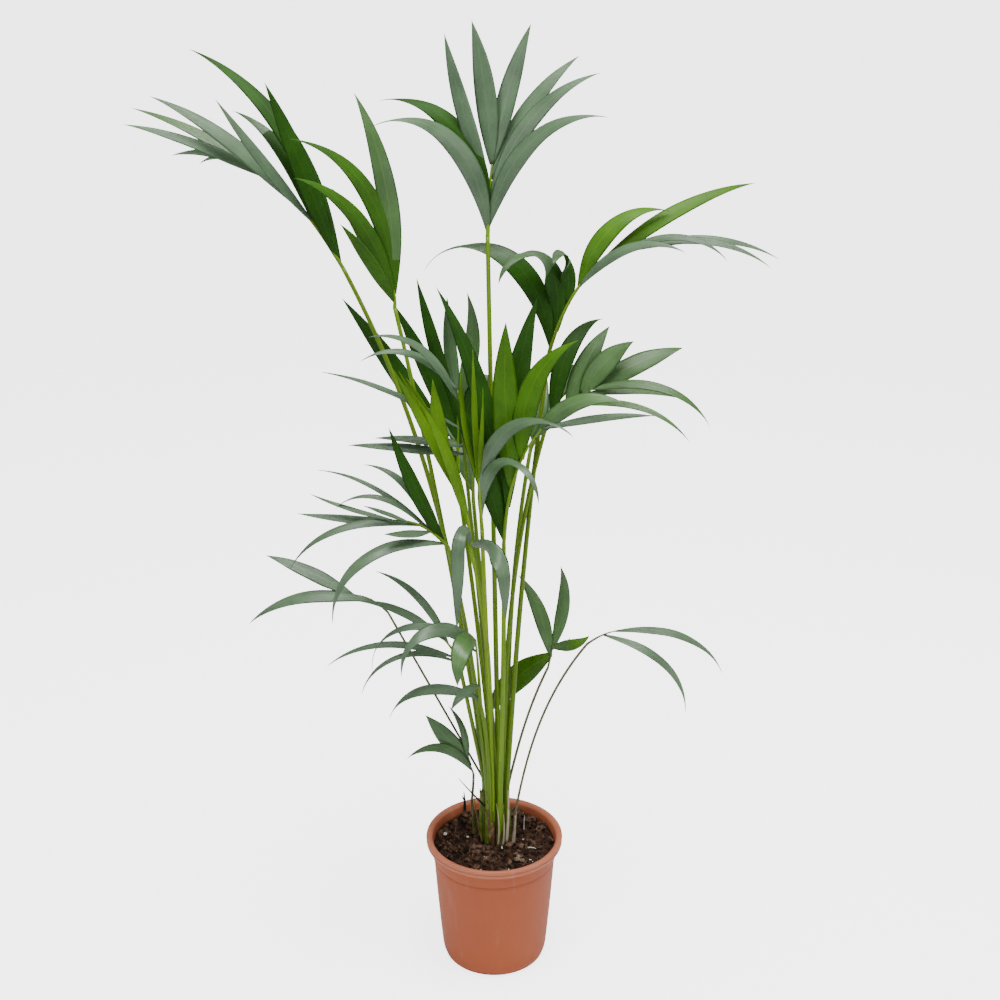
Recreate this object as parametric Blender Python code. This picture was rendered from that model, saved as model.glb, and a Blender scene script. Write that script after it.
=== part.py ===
"""Potted kentia palm, about 1.27 m tall, standing in a 190 mm pot.

Axes: +Z up, +X to the right of the front view, the front faces -Y, origin at the middle of
the pot's underside. Bearings are degrees anticlockwise from +X seen from above, rises are
degrees above the horizon. Sizes in the tables are millimetres.
"""

import math
from typing import NamedTuple

import bpy
import bmesh
from mathutils import Vector

MM = 0.001
GAP = 0.3

POT_HEIGHT = 190.0
POT_RIM_RADIUS = 95.0
POT_WALL = 2.2
POT_SIDES = 40
LIP_BOTTOM = 179.0
LIP_GROOVE = 184.5
STEP_HEIGHT = 159.0
NECK_RADIUS = 86.8
BODY_TOP_RADIUS = 84.6
BODY_HIGH_RADIUS = 81.0
BODY_HIGH_HEIGHT = 114.0
BODY_LOW_RADIUS = 75.2
BODY_LOW_HEIGHT = 46.0
BODY_FOOT_RADIUS = 72.4
FOOT_BEAD = 3.5
BASE_RADIUS = 69.5
FLOOR = 4.0
POT_ROUGHNESS = 0.5

SOIL_LEVEL = 179.0
SOIL_CALM_RADIUS = 45.0
SOIL_EDGE_RADIUS = 83.4
SOIL_RELIEF = 2.5
SOIL_WAVES = 3.0
SOIL_RIPPLES = 5.0
SOIL_TURN = 0.6
SOIL_ROUGHNESS = 0.95

STEM_SIDES = 10
STEM_STATIONS = (0.0, 0.12, 0.35, 0.7, 1.0)
STEM_FLARE_POWER = 2
STEM_ROUGHNESS = 0.6
PETIOLE_SIDES = 8
RACHIS_SIDES = 6
PETIOLE_END_RADIUS = 1.9
PETIOLE_STEP = 90.0
PETIOLE_LEAST_STEPS = 3
PETIOLE_ROUGHNESS = 0.45
RACHIS_END_RADIUS = 1.1
RACHIS_STEPS = 6
FINE_STEPS = 6
ROOT_CLEAR = 7.0
DROOP_POWER = 1.6
HANGING = -86.0
LEVEL_AFTER = 90.0

LEAF_WIDEST = 0.42
LEAF_ROOT_SHARE = 0.24
LEAF_TIP_POWER = 1.15
LEAF_RIDGE_LEAST = 0.45
LEAF_ROUGHNESS = 0.4
LEAF_THICK_SHARE = 1.0 / 80.0
LEAF_LEAST_THICK = 2.0
LEAF_LEAST_STEPS = 5
LEAF_MOST_STEPS = 11
SAG_PER_STEP = 30.0


class Limb(NamedTuple):
    """A limb that leaves at a rise toward a bearing and sinks by its sag over its length."""

    bearing: float
    rise: float
    sag: float
    length: float


class Leaf(NamedTuple):
    """A leaflet: its seat as a share of the rachis, its limb and its greatest width."""

    seat: float
    bearing: float
    rise: float
    sag: float
    length: float
    width: float


class Frond(NamedTuple):
    """A frond: where its petiole leaves the stem, petiole, rachis, outlook and leaflets."""

    start: tuple
    thick: float
    petiole: Limb
    rachis: Limb
    outlook: tuple
    leaves: tuple


class Stem(NamedTuple):
    """A sheathed stem from a flat cut at soil level."""

    foot: tuple
    top: tuple
    foot_radius: float
    top_radius: float


STEMS = {
    "left": Stem((-15, 9), (-15, 9, 280), 7.5, 6.8),
    "front_left": Stem((-6, -8), (-7, -9, 290), 7.5, 6.8),
    "front": Stem((9, -7), (8.5, -8, 285), 7.5, 5.2),
    "right": Stem((17, 7), (18, 7, 275), 7.5, 6.8),
    "back": Stem((1, 9.5), (1.5, 9, 300), 7.5, 6.8),
    "side_left": Stem((-27, 12), (-31, 10, 240), 3.4, 2.8),
    "side_right": Stem((27, -8), (31, -9, 240), 3.6, 2.6),
}

FRONDS = {
    "top": Frond(
        (5.5, 9, 300), 2.5, Limb(120, 88, 0, 719), Limb(72, 81, 4, 86), (-100, 15),
        (
            Leaf(0.0, -155, 81, 104, 228, 26),
            Leaf(0.3, 171, 81, 96, 214, 26),
            Leaf(0.6, 178, 71, -8, 193, 20),
            Leaf(1.0, 158, 86, 12, 168, 26),
            Leaf(1.0, 23, 77, 12, 170, 24),
            Leaf(0.8, 21, 63, 32, 184, 22),
            Leaf(0.5, 0, 70, 56, 208, 22),
            Leaf(0.15, -16, 74, 84, 218, 24),
        ),
    ),
    "upper_left": Frond(
        (-15, 13, 280), 2.7, Limb(159, 84, 24, 721), Limb(165, 58, 28, 171), (-75, 40),
        (
            Leaf(0.0, 165, 75, 56, 332, 26),
            Leaf(0.1, -165, 72, 5, 227, 26),
            Leaf(0.35, 151, 71, 60, 192, 20),
            Leaf(0.4, -154, 52, -4, 192, 16),
            Leaf(0.5, -174, 49, 28, 230, 22),
            Leaf(0.7, 168, 35, 24, 222, 16),
            Leaf(0.8, -167, 30, 20, 194, 16),
            Leaf(1.0, 169, 18, 36, 110, 14),
            Leaf(0.95, -155, 33, 68, 80, 12),
        ),
    ),
    "upper_left_inner": Frond(
        (-11, 9, 280), 2.6, Limb(180, 82, 4, 665), Limb(180, 94, 20, 28), (-80, 20),
        (
            Leaf(0.6, 156, 91, 32, 245, 26),
            Leaf(0.8, -161, 87, 80, 242, 24),
            Leaf(0.3, -147, 74, 60, 214, 22),
            Leaf(0.1, -120, 51, 12, 154, 16),
            Leaf(0.4, 143, 61, 24, 160, 20),
        ),
    ),
    "upper_right": Frond(
        (18, 3, 275), 2.7, Limb(33, 86, 5, 601), Limb(16, 73, 64, 180), (-100, 30),
        (
            Leaf(0.0, 169, 82, 144, 250, 30),
            Leaf(0.15, -136, 99, 172, 194, 32),
            Leaf(0.35, -110, 99, 150, 120, 26),
            Leaf(0.5, 15, 72, 94, 166, 26),
            Leaf(0.65, 16, 37, 32, 238, 20),
            Leaf(0.85, 0, 16, 48, 210, 12),
            Leaf(1.0, -14, 13, 52, 175, 10),
            Leaf(0.9, -22, 27, 76, 144, 10),
            Leaf(0.5, -26, 50, 76, 160, 14),
        ),
    ),
    "centre_right": Frond(
        (8.5, -12, 285), 2.6, Limb(-76, 84, -8, 354), Limb(-28, 86, 36, 173), (-100, 15),
        (
            Leaf(0.0, 178, 76, 12, 206, 28),
            Leaf(0.12, 144, 82, 30, 320, 26),
            Leaf(0.3, 50, 89, 30, 270, 34),
            Leaf(0.45, 180, 85, -8, 214, 34),
            Leaf(0.7, -8, 92, 68, 180, 32),
            Leaf(0.9, -15, 55, 80, 136, 22),
            Leaf(1.0, -17, 18, 16, 144, 10),
        ),
    ),
    "right": Frond(
        (14, 7, 275), 2.5, Limb(17, 90, 16, 504), Limb(14, 49, 24, 80), (-80, 40),
        (
            Leaf(0.2, 50, 85, 100, 175, 24),
            Leaf(0.5, 42, 60, 24, 120, 26),
            Leaf(0.8, 9, 59, 36, 96, 30),
            Leaf(1.0, 14, 28, 20, 130, 28),
            Leaf(0.95, -15, 17, 80, 174, 14),
            Leaf(0.8, 4, 8, 32, 136, 12),
            Leaf(0.5, -22, 16, 68, 176, 10),
        ),
    ),
    "front": Frond(
        (-3, -9, 290), 2.4, Limb(-117, 86, 0, 371), Limb(-119, 82, -5, 70), (-60, 50),
        (
            Leaf(0.6, -28, 85, 125, 204, 20),
            Leaf(0.2, -49, 90, 180, 191, 18),
            Leaf(0.8, -121, 84, -5, 185, 10),
            Leaf(0.9, -166, 75, -20, 164, 10),
            Leaf(1.0, -77, 71, -20, 130, 10),
        ),
    ),
    "folded": Frond(
        (-7, -5, 290), 3.2, Limb(-130, 92, 20, 341), Limb(180, 87, 28, 115), (-70, 20),
        (
            Leaf(0.6, -167, 66, 4, 202, 14),
            Leaf(0.8, 172, 67, 8, 164, 12),
            Leaf(0.9, 161, 70, 16, 140, 12),
            Leaf(1.0, 180, 78, -8, 120, 20),
            Leaf(0.3, -153, 77, 20, 190, 16),
            Leaf(0.0, -106, 76, 600, 190, 18),
            Leaf(0.0, -58, 32, 225, 150, 22),
        ),
    ),
    "left": Frond(
        (-11, -9, 290), 2.4, Limb(-147, 84, 8, 353), Limb(-162, 52, 48, 82), (-90, 60),
        (
            Leaf(0.1, -163, 64, -8, 174, 22),
            Leaf(0.4, 167, 72, 76, 130, 12),
            Leaf(0.3, 162, 40, 44, 180, 8),
            Leaf(0.5, 180, 50, 100, 134, 10),
            Leaf(1.0, 170, 10, -12, 116, 8),
            Leaf(0.8, -160, 28, 4, 66, 8),
            Leaf(0.7, 176, 2, -4, 150, 14),
            Leaf(0.6, -169, 13, 76, 186, 14),
            Leaf(0.0, -153, 16, 116, 208, 20),
            Leaf(0.4, -145, 7, -8, 70, 14),
        ),
    ),
    "arcs_left": Frond(
        (1.5, 5, 300), 2.2, Limb(-170, 85, 0, 430), Limb(-135, 86, 8, 109), (-90, 60),
        (
            Leaf(1.0, -161, 54, 88, 146, 14),
            Leaf(0.8, -146, 67, 72, 178, 14),
            Leaf(0.5, -174, 34, 24, 194, 10),
            Leaf(0.2, -176, 9, 8, 148, 16),
            Leaf(0.3, -177, 11, 12, 114, 14),
        ),
    ),
    "back_left": Frond(
        (-2.5, 9, 300), 2.4, Limb(133, 82, 4, 398), Limb(89, 73, -8, 105), (-90, 15),
        (
            Leaf(0.2, 172, 59, 8, 264, 26),
            Leaf(0.5, 173, 69, 8, 198, 22),
            Leaf(0.7, 143, 69, -4, 198, 18),
            Leaf(1.0, 106, 53, -40, 140, 18),
            Leaf(1.0, 0, 71, -36, 148, 22),
            Leaf(0.4, 40, 70, -20, 150, 16),
        ),
    ),
    "back_right": Frond(
        (18, 11, 275), 2.4, Limb(74, 91, 40, 464), Limb(47, 56, 44, 108), (-110, 50),
        (
            Leaf(0.1, 76, 58, 24, 110, 26),
            Leaf(0.3, 119, 47, 20, 110, 26),
            Leaf(0.5, 68, 34, 100, 152, 26),
            Leaf(0.6, 41, 65, 120, 124, 24),
            Leaf(0.8, 69, 24, 90, 172, 24),
            Leaf(1.0, 39, 39, 100, 118, 22),
            Leaf(1.0, 77, 22, 60, 132, 22),
        ),
    ),
    "back": Frond(
        (1.5, 13, 300), 2.4, Limb(106, 74, 4, 360), Limb(93, 70, 50, 120), (-90, 50),
        (
            Leaf(0.1, 136, 71, 104, 120, 24),
            Leaf(0.3, 44, 47, 76, 98, 24),
            Leaf(0.5, 125, 36, 40, 108, 24),
            Leaf(0.6, 65, 17, 12, 102, 24),
            Leaf(0.8, 100, 24, 80, 146, 22),
            Leaf(1.0, 81, 41, 100, 168, 22),
            Leaf(1.0, 94, 55, 90, 144, 22),
        ),
    ),
    "low_left_outer": Frond(
        (-19, 9, 280), 1.8, Limb(170, 62, 0, 266), Limb(168, 43, 50, 54), (-90, 60),
        (
            Leaf(0.5, -177, 12, 60, 178, 22),
            Leaf(1.0, 170, 28, 15, 130, 22),
        ),
    ),
    "low_left": Frond(
        (-15, 5, 280), 2.3, Limb(-142, 78, 0, 182), Limb(-158, 73, 24, 50), (-90, 60),
        (
            Leaf(0.8, 180, 68, 52, 146, 12),
            Leaf(1.0, -170, 45, 40, 132, 14),
            Leaf(0.3, -173, 25, 68, 182, 12),
            Leaf(0.1, -158, 33, 112, 162, 10),
        ),
    ),
    "low_front": Frond(
        (-7, -13, 290), 2.3, Limb(-128, 86, 12, 118), Limb(-102, 79, 8, 113), (-100, 40),
        (
            Leaf(0.1, 175, 20, 100, 148, 16),
            Leaf(0.3, -125, 14, 60, 66, 14),
            Leaf(0.8, -176, 45, 150, 188, 12),
            Leaf(0.9, -149, 50, 160, 156, 20),
            Leaf(1.0, -106, 37, 156, 112, 28),
        ),
    ),
    "foot_left": Frond(
        (-31, 10, 240), 2.0, Limb(-82, 60, -20, 54), Limb(180, 76, 16, 24), (-80, 20),
        (
            Leaf(0.6, -170, 56, 4, 104, 24),
            Leaf(1.0, 158, 89, 48, 86, 10),
            Leaf(0.3, -155, 60, 96, 118, 14),
            Leaf(0.9, 165, 50, 12, 50, 14),
        ),
    ),
    "low_right": Frond(
        (22, 7, 275), 2.0, Limb(25, 76, 15, 168), Limb(0, 78, -4, 34), (-90, 15),
        (
            Leaf(0.5, 156, 79, 32, 124, 20),
            Leaf(0.8, 43, 65, -48, 124, 18),
            Leaf(0.6, 165, -38, 30, 140, 34),
            Leaf(0.9, -25, 15, -60, 34, 12),
            Leaf(1.0, 31, -20, -50, 62, 16),
        ),
    ),
    "right_outer": Frond(
        (31, -9, 240), 1.9, Limb(4, 80, 28, 264), Limb(0, 38, 28, 42), (-90, 60),
        (
            Leaf(1.0, -4, 8, 80, 170, 14),
            Leaf(0.6, -21, -5, 92, 168, 14),
        ),
    ),
}

LEAF_DARK = (0.028, 0.105, 0.022)
LEAF_BRIGHT = (0.130, 0.260, 0.020)
STALK_GREEN = (0.115, 0.190, 0.022)
SHEATH_OLIVE = (0.155, 0.150, 0.055)
POT_CLAY = (0.420, 0.130, 0.052)
SOIL_BROWN = (0.030, 0.017, 0.010)
BRIGHT_FRONDS = ("folded", "centre_right")


def clear_scene():
    """Remove every object of the starting scene."""
    for obj in list(bpy.data.objects):
        bpy.data.objects.remove(obj, do_unlink=True)


def material(name, colour, roughness):
    """A plain Principled material of one colour."""
    made = bpy.data.materials.new(name)
    made.use_nodes = True
    shader = made.node_tree.nodes["Principled BSDF"]
    shader.inputs["Base Color"].default_value = (*colour, 1.0)
    shader.inputs["Roughness"].default_value = roughness
    made.diffuse_color = (*colour, 1.0)
    return made


def compass(bearing, rise):
    """The unit vector toward a bearing and a rise."""
    turn = math.radians(bearing)
    lift = math.radians(rise)
    return Vector((math.cos(lift) * math.cos(turn), math.cos(lift) * math.sin(turn), math.sin(lift)))


def sunk_rise(limb, share):
    """The rise of a limb a share of the way along, no steeper than hanging."""
    return max(limb.rise - limb.sag * share**DROOP_POWER, HANGING)


def limb_path(start, limb, steps):
    """Points in millimetres along a limb, and its direction at each."""
    points = [Vector(start)]
    heads = [compass(limb.bearing, limb.rise)]
    here = Vector(start)
    count = steps * FINE_STEPS
    for step in range(count):
        here = here + compass(limb.bearing, sunk_rise(limb, (step + 0.5) / count)) * (limb.length / count)
        if (step + 1) % FINE_STEPS == 0:
            points.append(here.copy())
            heads.append(compass(limb.bearing, sunk_rise(limb, (step + 1) / count)))
    return points, heads


def along(points, share):
    """The point a share of the way along evenly spaced points."""
    place = min(max(share, 0.0), 1.0) * (len(points) - 1)
    index = min(int(place), len(points) - 2)
    return points[index].lerp(points[index + 1], place - index)


def skin(bm, rings, split_from_edges=False):
    """Join rings of vertices into a closed skin with end caps.

    A twisted blade is split from its edges, its even corners, so that its two faces never cross.
    """
    for lower, upper in zip(rings, rings[1:]):
        count = len(lower)
        for i in range(count):
            j = (i + 1) % count
            if len(upper) == 1:
                bm.faces.new((lower[i], lower[j], upper[0]))
            elif not split_from_edges:
                bm.faces.new((lower[i], lower[j], upper[j], upper[i]))
            elif i % 2 == 0:
                bm.faces.new((lower[i], lower[j], upper[j]))
                bm.faces.new((lower[i], upper[j], upper[i]))
            else:
                bm.faces.new((lower[i], lower[j], upper[i]))
                bm.faces.new((lower[j], upper[j], upper[i]))
    bm.faces.new(list(reversed(rings[0])))
    if len(rings[-1]) > 1:
        bm.faces.new(rings[-1])


def round_limb(bm, points, heads, radii, sides, level_start=False):
    """A round limb through the points, cut level at its start where asked."""
    across = Vector((-heads[0].y, heads[0].x, 0.0)).normalized()
    rings = []
    for index, (point, head, radius) in enumerate(zip(points, heads, radii)):
        upper = across.cross(head).normalized()
        ring = []
        for side in range(sides):
            angle = 2.0 * math.pi * side / sides
            spot = point + across * (radius * math.cos(angle)) - upper * (radius * math.sin(angle))
            if index == 0 and level_start:
                spot.z = point.z
            ring.append(bm.verts.new(spot * MM))
        rings.append(ring)
    skin(bm, rings)


def leaf_breadth(share):
    """Width of a leaflet as a share of its greatest, from root to tip."""
    if share < LEAF_WIDEST:
        swell = math.sin(0.5 * math.pi * share / LEAF_WIDEST)
        return LEAF_ROOT_SHARE + (1.0 - LEAF_ROOT_SHARE) * swell
    return math.cos(0.5 * math.pi * ((share - LEAF_WIDEST) / (1.0 - LEAF_WIDEST)) ** LEAF_TIP_POWER)


def leaf_blade(bm, root, leaf, outlook):
    """A thin leaflet with a ridge on both faces, turned to its outlook and levelling as it sags."""
    steps = min(LEAF_LEAST_STEPS + round(abs(leaf.sag) / SAG_PER_STEP), LEAF_MOST_STEPS)
    limb = Limb(leaf.bearing, leaf.rise, leaf.sag, leaf.length)
    points, heads = limb_path(root, limb, steps)
    level = compass(leaf.bearing + 90.0, 0.0)
    upper = heads[0].cross(level)
    roll = math.atan2(-outlook.dot(level), outlook.dot(upper))
    thick = max(leaf.length * LEAF_THICK_SHARE, LEAF_LEAST_THICK)
    rings = []
    for index, (point, head) in enumerate(zip(points, heads)):
        share = index / steps
        if index == steps:
            rings.append([bm.verts.new(point * MM)])
            break
        sunk = min(1.0, abs(leaf.sag) * share**DROOP_POWER / LEVEL_AFTER)
        turn = roll * (1.0 - sunk)
        upper = head.cross(level)
        across = level * math.cos(turn) + upper * math.sin(turn)
        face = head.cross(across)
        breadth = leaf_breadth(share)
        half = 0.5 * leaf.width * breadth
        ridge = 0.5 * thick * (LEAF_RIDGE_LEAST + (1.0 - LEAF_RIDGE_LEAST) * breadth)
        corners = (point - across * half, point - face * ridge, point + across * half, point + face * ridge)
        rings.append([bm.verts.new(corner * MM) for corner in corners])
    skin(bm, rings, split_from_edges=True)


def finish(bm, name, colour, roughness, smooth=True):
    """Turn a bmesh into a named object with its own material and outward faces."""
    bmesh.ops.recalc_face_normals(bm, faces=bm.faces)
    mesh = bpy.data.meshes.new(name)
    bm.to_mesh(mesh)
    bm.free()
    for face in mesh.polygons:
        face.use_smooth = smooth
    mesh.materials.append(material("mat_" + name, colour, roughness))
    obj = bpy.data.objects.new(name, mesh)
    bpy.context.scene.collection.objects.link(obj)
    return obj


def keep_largest_shell(mesh):
    """Drop the sealed hollows and loose scraps that a union leaves, keeping the shell with most faces."""
    bm = bmesh.new()
    bm.from_mesh(mesh)
    unseen = set(bm.faces)
    shells = []
    while unseen:
        shell = []
        border = [unseen.pop()]
        while border:
            face = border.pop()
            shell.append(face)
            for edge in face.edges:
                for other in edge.link_faces if len(edge.link_faces) == 2 else ():
                    if other in unseen:
                        unseen.remove(other)
                        border.append(other)
        shells.append(shell)
    shells.sort(key=len, reverse=True)
    for shell in shells[1:]:
        bmesh.ops.delete(bm, geom=shell, context="FACES")
    bm.to_mesh(mesh)
    bm.free()


def fuse(body, extras):
    """Join extra objects into the body with one union, then remove them."""
    group = bpy.data.collections.new(body.name + "_extras")
    bpy.context.scene.collection.children.link(group)
    for extra in extras:
        bpy.context.scene.collection.objects.unlink(extra)
        group.objects.link(extra)
    union = body.modifiers.new("union", "BOOLEAN")
    union.operation = "UNION"
    union.operand_type = "COLLECTION"
    union.collection = group
    union.solver = "EXACT"
    bpy.context.view_layer.update()
    graph = bpy.context.evaluated_depsgraph_get()
    joined = bpy.data.meshes.new_from_object(body.evaluated_get(graph))
    body.modifiers.clear()
    body.data = joined
    keep_largest_shell(joined)
    for extra in extras:
        bpy.data.objects.remove(extra, do_unlink=True)
    bpy.data.collections.remove(group)


def pot_profile():
    """Radius and height of the pot's wall, from the middle of the underside round to the inside."""
    outer = [
        (BASE_RADIUS, 0.0),
        (BASE_RADIUS + 1.2, 1.2),
        (BASE_RADIUS + 1.4, FOOT_BEAD),
        (BODY_FOOT_RADIUS, FOOT_BEAD + 1.0),
        (BODY_LOW_RADIUS, BODY_LOW_HEIGHT),
        (BODY_HIGH_RADIUS, BODY_HIGH_HEIGHT),
        (BODY_TOP_RADIUS, STEP_HEIGHT - 1.0),
        (BODY_TOP_RADIUS + 1.1, STEP_HEIGHT),
        (NECK_RADIUS, LIP_BOTTOM),
        (POT_RIM_RADIUS - 1.6, LIP_BOTTOM),
        (POT_RIM_RADIUS - 0.3, LIP_BOTTOM + 1.5),
        (POT_RIM_RADIUS - 0.3, LIP_GROOVE - 1.2),
        (POT_RIM_RADIUS - 1.5, LIP_GROOVE),
        (POT_RIM_RADIUS, LIP_GROOVE + 1.4),
        (POT_RIM_RADIUS - 0.6, POT_HEIGHT - 1.2),
        (POT_RIM_RADIUS - 2.4, POT_HEIGHT),
        (POT_RIM_RADIUS - 5.4, POT_HEIGHT - 0.4),
    ]
    inner = [
        (NECK_RADIUS - POT_WALL + 1.4, POT_HEIGHT - 4.0),
        (NECK_RADIUS - POT_WALL, LIP_BOTTOM - 2.0),
        (BODY_TOP_RADIUS - POT_WALL, STEP_HEIGHT - 1.0),
        (BODY_HIGH_RADIUS - POT_WALL, BODY_HIGH_HEIGHT),
        (BODY_LOW_RADIUS - POT_WALL, BODY_LOW_HEIGHT),
        (BODY_FOOT_RADIUS - POT_WALL, FLOOR),
    ]
    return outer, inner


def turned(bm, profile, relief=None):
    """A solid of revolution about Z, its capped profile lifted by the relief where one is given."""
    rings = []
    for radius, height in profile:
        ring = []
        for side in range(POT_SIDES):
            angle = 2.0 * math.pi * side / POT_SIDES
            lift = relief(radius, height, angle) if relief else 0.0
            spot = Vector((radius * math.cos(angle), radius * math.sin(angle), height + lift))
            ring.append(bm.verts.new(spot * MM))
        rings.append(ring)
    skin(bm, rings)


def build_pot():
    """The tapered pot with its rolled lip, step line, foot bead and flat underside."""
    outer, inner = pot_profile()
    bm = bmesh.new()
    turned(bm, outer + inner)
    finish(bm, "pot", POT_CLAY, POT_ROUGHNESS)


def soil_relief(radius, height, angle):
    """Low unevenness of the soil's top, level round the stems and at the wall."""
    if height < SOIL_LEVEL or not SOIL_CALM_RADIUS < radius < SOIL_EDGE_RADIUS:
        return 0.0
    return SOIL_RELIEF * math.sin(SOIL_WAVES * angle + SOIL_TURN) * math.cos(SOIL_RIPPLES * angle)


def build_soil():
    """The soil that fills the pot up to a little below the rim."""
    inner = pot_profile()[1]
    wall = [(radius - GAP, max(height, FLOOR + GAP)) for radius, height in reversed(inner[2:])]
    top = [
        (SOIL_EDGE_RADIUS, SOIL_LEVEL),
        (0.5 * (SOIL_EDGE_RADIUS + SOIL_CALM_RADIUS), SOIL_LEVEL),
        (SOIL_CALM_RADIUS, SOIL_LEVEL),
    ]
    bm = bmesh.new()
    turned(bm, wall + top, soil_relief)
    finish(bm, "soil", SOIL_BROWN, SOIL_ROUGHNESS, smooth=False)


def build_stem(name, stem):
    """A sheathed stem that flares toward its flat cut on the soil."""
    low = Vector((*stem.foot, SOIL_LEVEL + GAP))
    high = Vector(stem.top)
    bm = bmesh.new()
    rings = []
    for share in STEM_STATIONS:
        centre = low.lerp(high, share)
        radius = stem.top_radius + (stem.foot_radius - stem.top_radius) * (1.0 - share) ** STEM_FLARE_POWER
        ring = []
        for side in range(STEM_SIDES):
            angle = 2.0 * math.pi * side / STEM_SIDES
            spot = centre + Vector((radius * math.cos(angle), radius * math.sin(angle), 0.0))
            ring.append(bm.verts.new(spot * MM))
        rings.append(ring)
    skin(bm, rings)
    finish(bm, "stem_" + name, SHEATH_OLIVE, STEM_ROUGHNESS)


def build_frond(name, frond):
    """A petiole as one tapering limb, and the blade of rachis and leaflets just beyond its tip."""
    start = Vector(frond.start) + Vector((0.0, 0.0, GAP))
    steps = max(PETIOLE_LEAST_STEPS, round(frond.petiole.length / PETIOLE_STEP))
    points, heads = limb_path(start, frond.petiole, steps)
    end = min(frond.thick, PETIOLE_END_RADIUS)
    taper = [frond.thick + (end - frond.thick) * i / steps for i in range(steps + 1)]
    bm = bmesh.new()
    round_limb(bm, points, heads, taper, PETIOLE_SIDES, level_start=True)
    finish(bm, "petiole_" + name, STALK_GREEN, PETIOLE_ROUGHNESS)

    seat = points[-1] + heads[-1] * GAP
    rachis, ways = limb_path(seat, frond.rachis, RACHIS_STEPS)
    ways[0] = heads[-1]
    thin = [end + (RACHIS_END_RADIUS - end) * i / RACHIS_STEPS for i in range(RACHIS_STEPS + 1)]
    colour = LEAF_BRIGHT if name in BRIGHT_FRONDS else LEAF_DARK
    bm = bmesh.new()
    round_limb(bm, rachis, ways, thin, RACHIS_SIDES)
    blade = finish(bm, "frond_" + name, colour, LEAF_ROUGHNESS)
    outlook = compass(*frond.outlook)
    extras = []
    for number, leaf in enumerate(frond.leaves):
        share = max(leaf.seat, ROOT_CLEAR / frond.rachis.length)
        bm = bmesh.new()
        leaf_blade(bm, along(rachis, share), leaf, outlook)
        extras.append(finish(bm, f"leaf_{name}_{number}", colour, LEAF_ROUGHNESS))
    fuse(blade, extras)


def main():
    """Build the pot, the soil, the stems and the fronds."""
    clear_scene()
    build_pot()
    build_soil()
    for name, stem in STEMS.items():
        build_stem(name, stem)
    for name, frond in FRONDS.items():
        build_frond(name, frond)


main()
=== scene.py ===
"""Looks of a potted kentia palm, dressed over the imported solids.

Axes are the solids' own: +Z up, the front faces -Y, origin under the middle of the pot. Sizes in
the classes and tables are millimetres, bearings are degrees anticlockwise from +X seen from above,
rises are degrees above the horizon.
"""

import logging
import math
import random
from dataclasses import dataclass
from enum import Enum
from typing import Callable, NamedTuple

import bpy
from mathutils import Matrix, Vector, noise


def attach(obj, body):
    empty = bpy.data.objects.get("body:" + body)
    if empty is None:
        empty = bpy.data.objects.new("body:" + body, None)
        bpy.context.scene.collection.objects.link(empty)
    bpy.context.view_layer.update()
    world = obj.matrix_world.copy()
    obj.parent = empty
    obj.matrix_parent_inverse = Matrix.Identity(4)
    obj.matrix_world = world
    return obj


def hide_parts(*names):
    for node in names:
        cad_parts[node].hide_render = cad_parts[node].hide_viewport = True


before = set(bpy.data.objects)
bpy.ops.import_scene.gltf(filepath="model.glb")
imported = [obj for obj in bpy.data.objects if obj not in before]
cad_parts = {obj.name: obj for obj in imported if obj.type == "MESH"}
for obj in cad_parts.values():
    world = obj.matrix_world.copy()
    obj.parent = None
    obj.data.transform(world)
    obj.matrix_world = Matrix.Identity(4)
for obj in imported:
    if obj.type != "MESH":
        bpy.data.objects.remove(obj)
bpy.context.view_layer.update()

MM = 0.001
BODY = "root"
UP = Vector((0.0, 0.0, 1.0))
SEED = 11

DROOP_POWER = 1.6
HANGING = -86.0
LEVEL_AFTER = 90.0
FINE_STEPS = 3
PETIOLE_END_RADIUS = 1.9
RACHIS_END_RADIUS = 0.9
ROOT_CLEAR = 7.0
SOIL_LEVEL = 179.0

log = logging.getLogger("kentia")
Colour = tuple[float, float, float]


class Slot(Enum):
    """The record's material slots."""

    POT = "pot_plastic"
    SOIL = "soil"
    SHEATH = "sheath"
    PETIOLE = "petiole"
    LEAF = "leaf"
    LEAF_NEW = "leaf_new"


class Tone(Enum):
    """Leaf tones: the pale one is a painted sheen, the grey-green that glossy faces turned up to the light show; the
    rest run from full-grown to newest.
    """

    # Painted sheen: pale grey-green for the light that glossy upward faces reflect.
    PALE = "pale"
    DEEP = "deep"
    MID = "mid"
    FRESH = "fresh"
    NEW = "new"


class StalkTone(Enum):
    """Colours of petiole and rachis."""

    OLIVE = "olive"
    GREEN = "green"
    BRIGHT = "bright"
    GREY = "grey"


class SheathTone(Enum):
    """Colours of the leaf sheaths round the stems."""

    BROWN = "brown"
    GREEN = "green"
    OLIVE = "olive"
    PAPER = "paper"


class Look(NamedTuple):
    """A leaflet's tone, and the share of its length whose face toward the outlook takes the underside's darker colour,
    a painted shade.
    """

    tone: Tone
    # Share of the length painted in the underside's shaded colour on the outlook face.
    turned: float = 0.0


class Limb(NamedTuple):
    """A limb that leaves at a rise toward a bearing and sinks by its sag over its length."""

    bearing: float
    rise: float
    sag: float
    length: float


class Leaf(NamedTuple):
    """A leaflet: its seat as a share of the rachis, its limb and its greatest width."""

    seat: float
    bearing: float
    rise: float
    sag: float
    length: float
    width: float


class Strip(NamedTuple):
    """A dry strip or stick bent over three points, with its half widths and finish number."""

    low: tuple
    middle: tuple
    high: tuple
    half: float
    flat: float
    finish: int


class Clod(NamedTuple):
    """A lump that lies on the soil, with its half sizes and finish number."""

    place: tuple
    size: tuple
    finish: int


class Frond(NamedTuple):
    """A frond: where its petiole leaves the stem, petiole, rachis, outlook and leaflets."""

    start: tuple
    thick: float
    petiole: Limb
    rachis: Limb
    outlook: tuple
    leaves: tuple


class Stem(NamedTuple):
    """A sheathed stem from a flat cut at soil level."""

    foot: tuple
    top: tuple
    foot_radius: float
    top_radius: float


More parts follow.
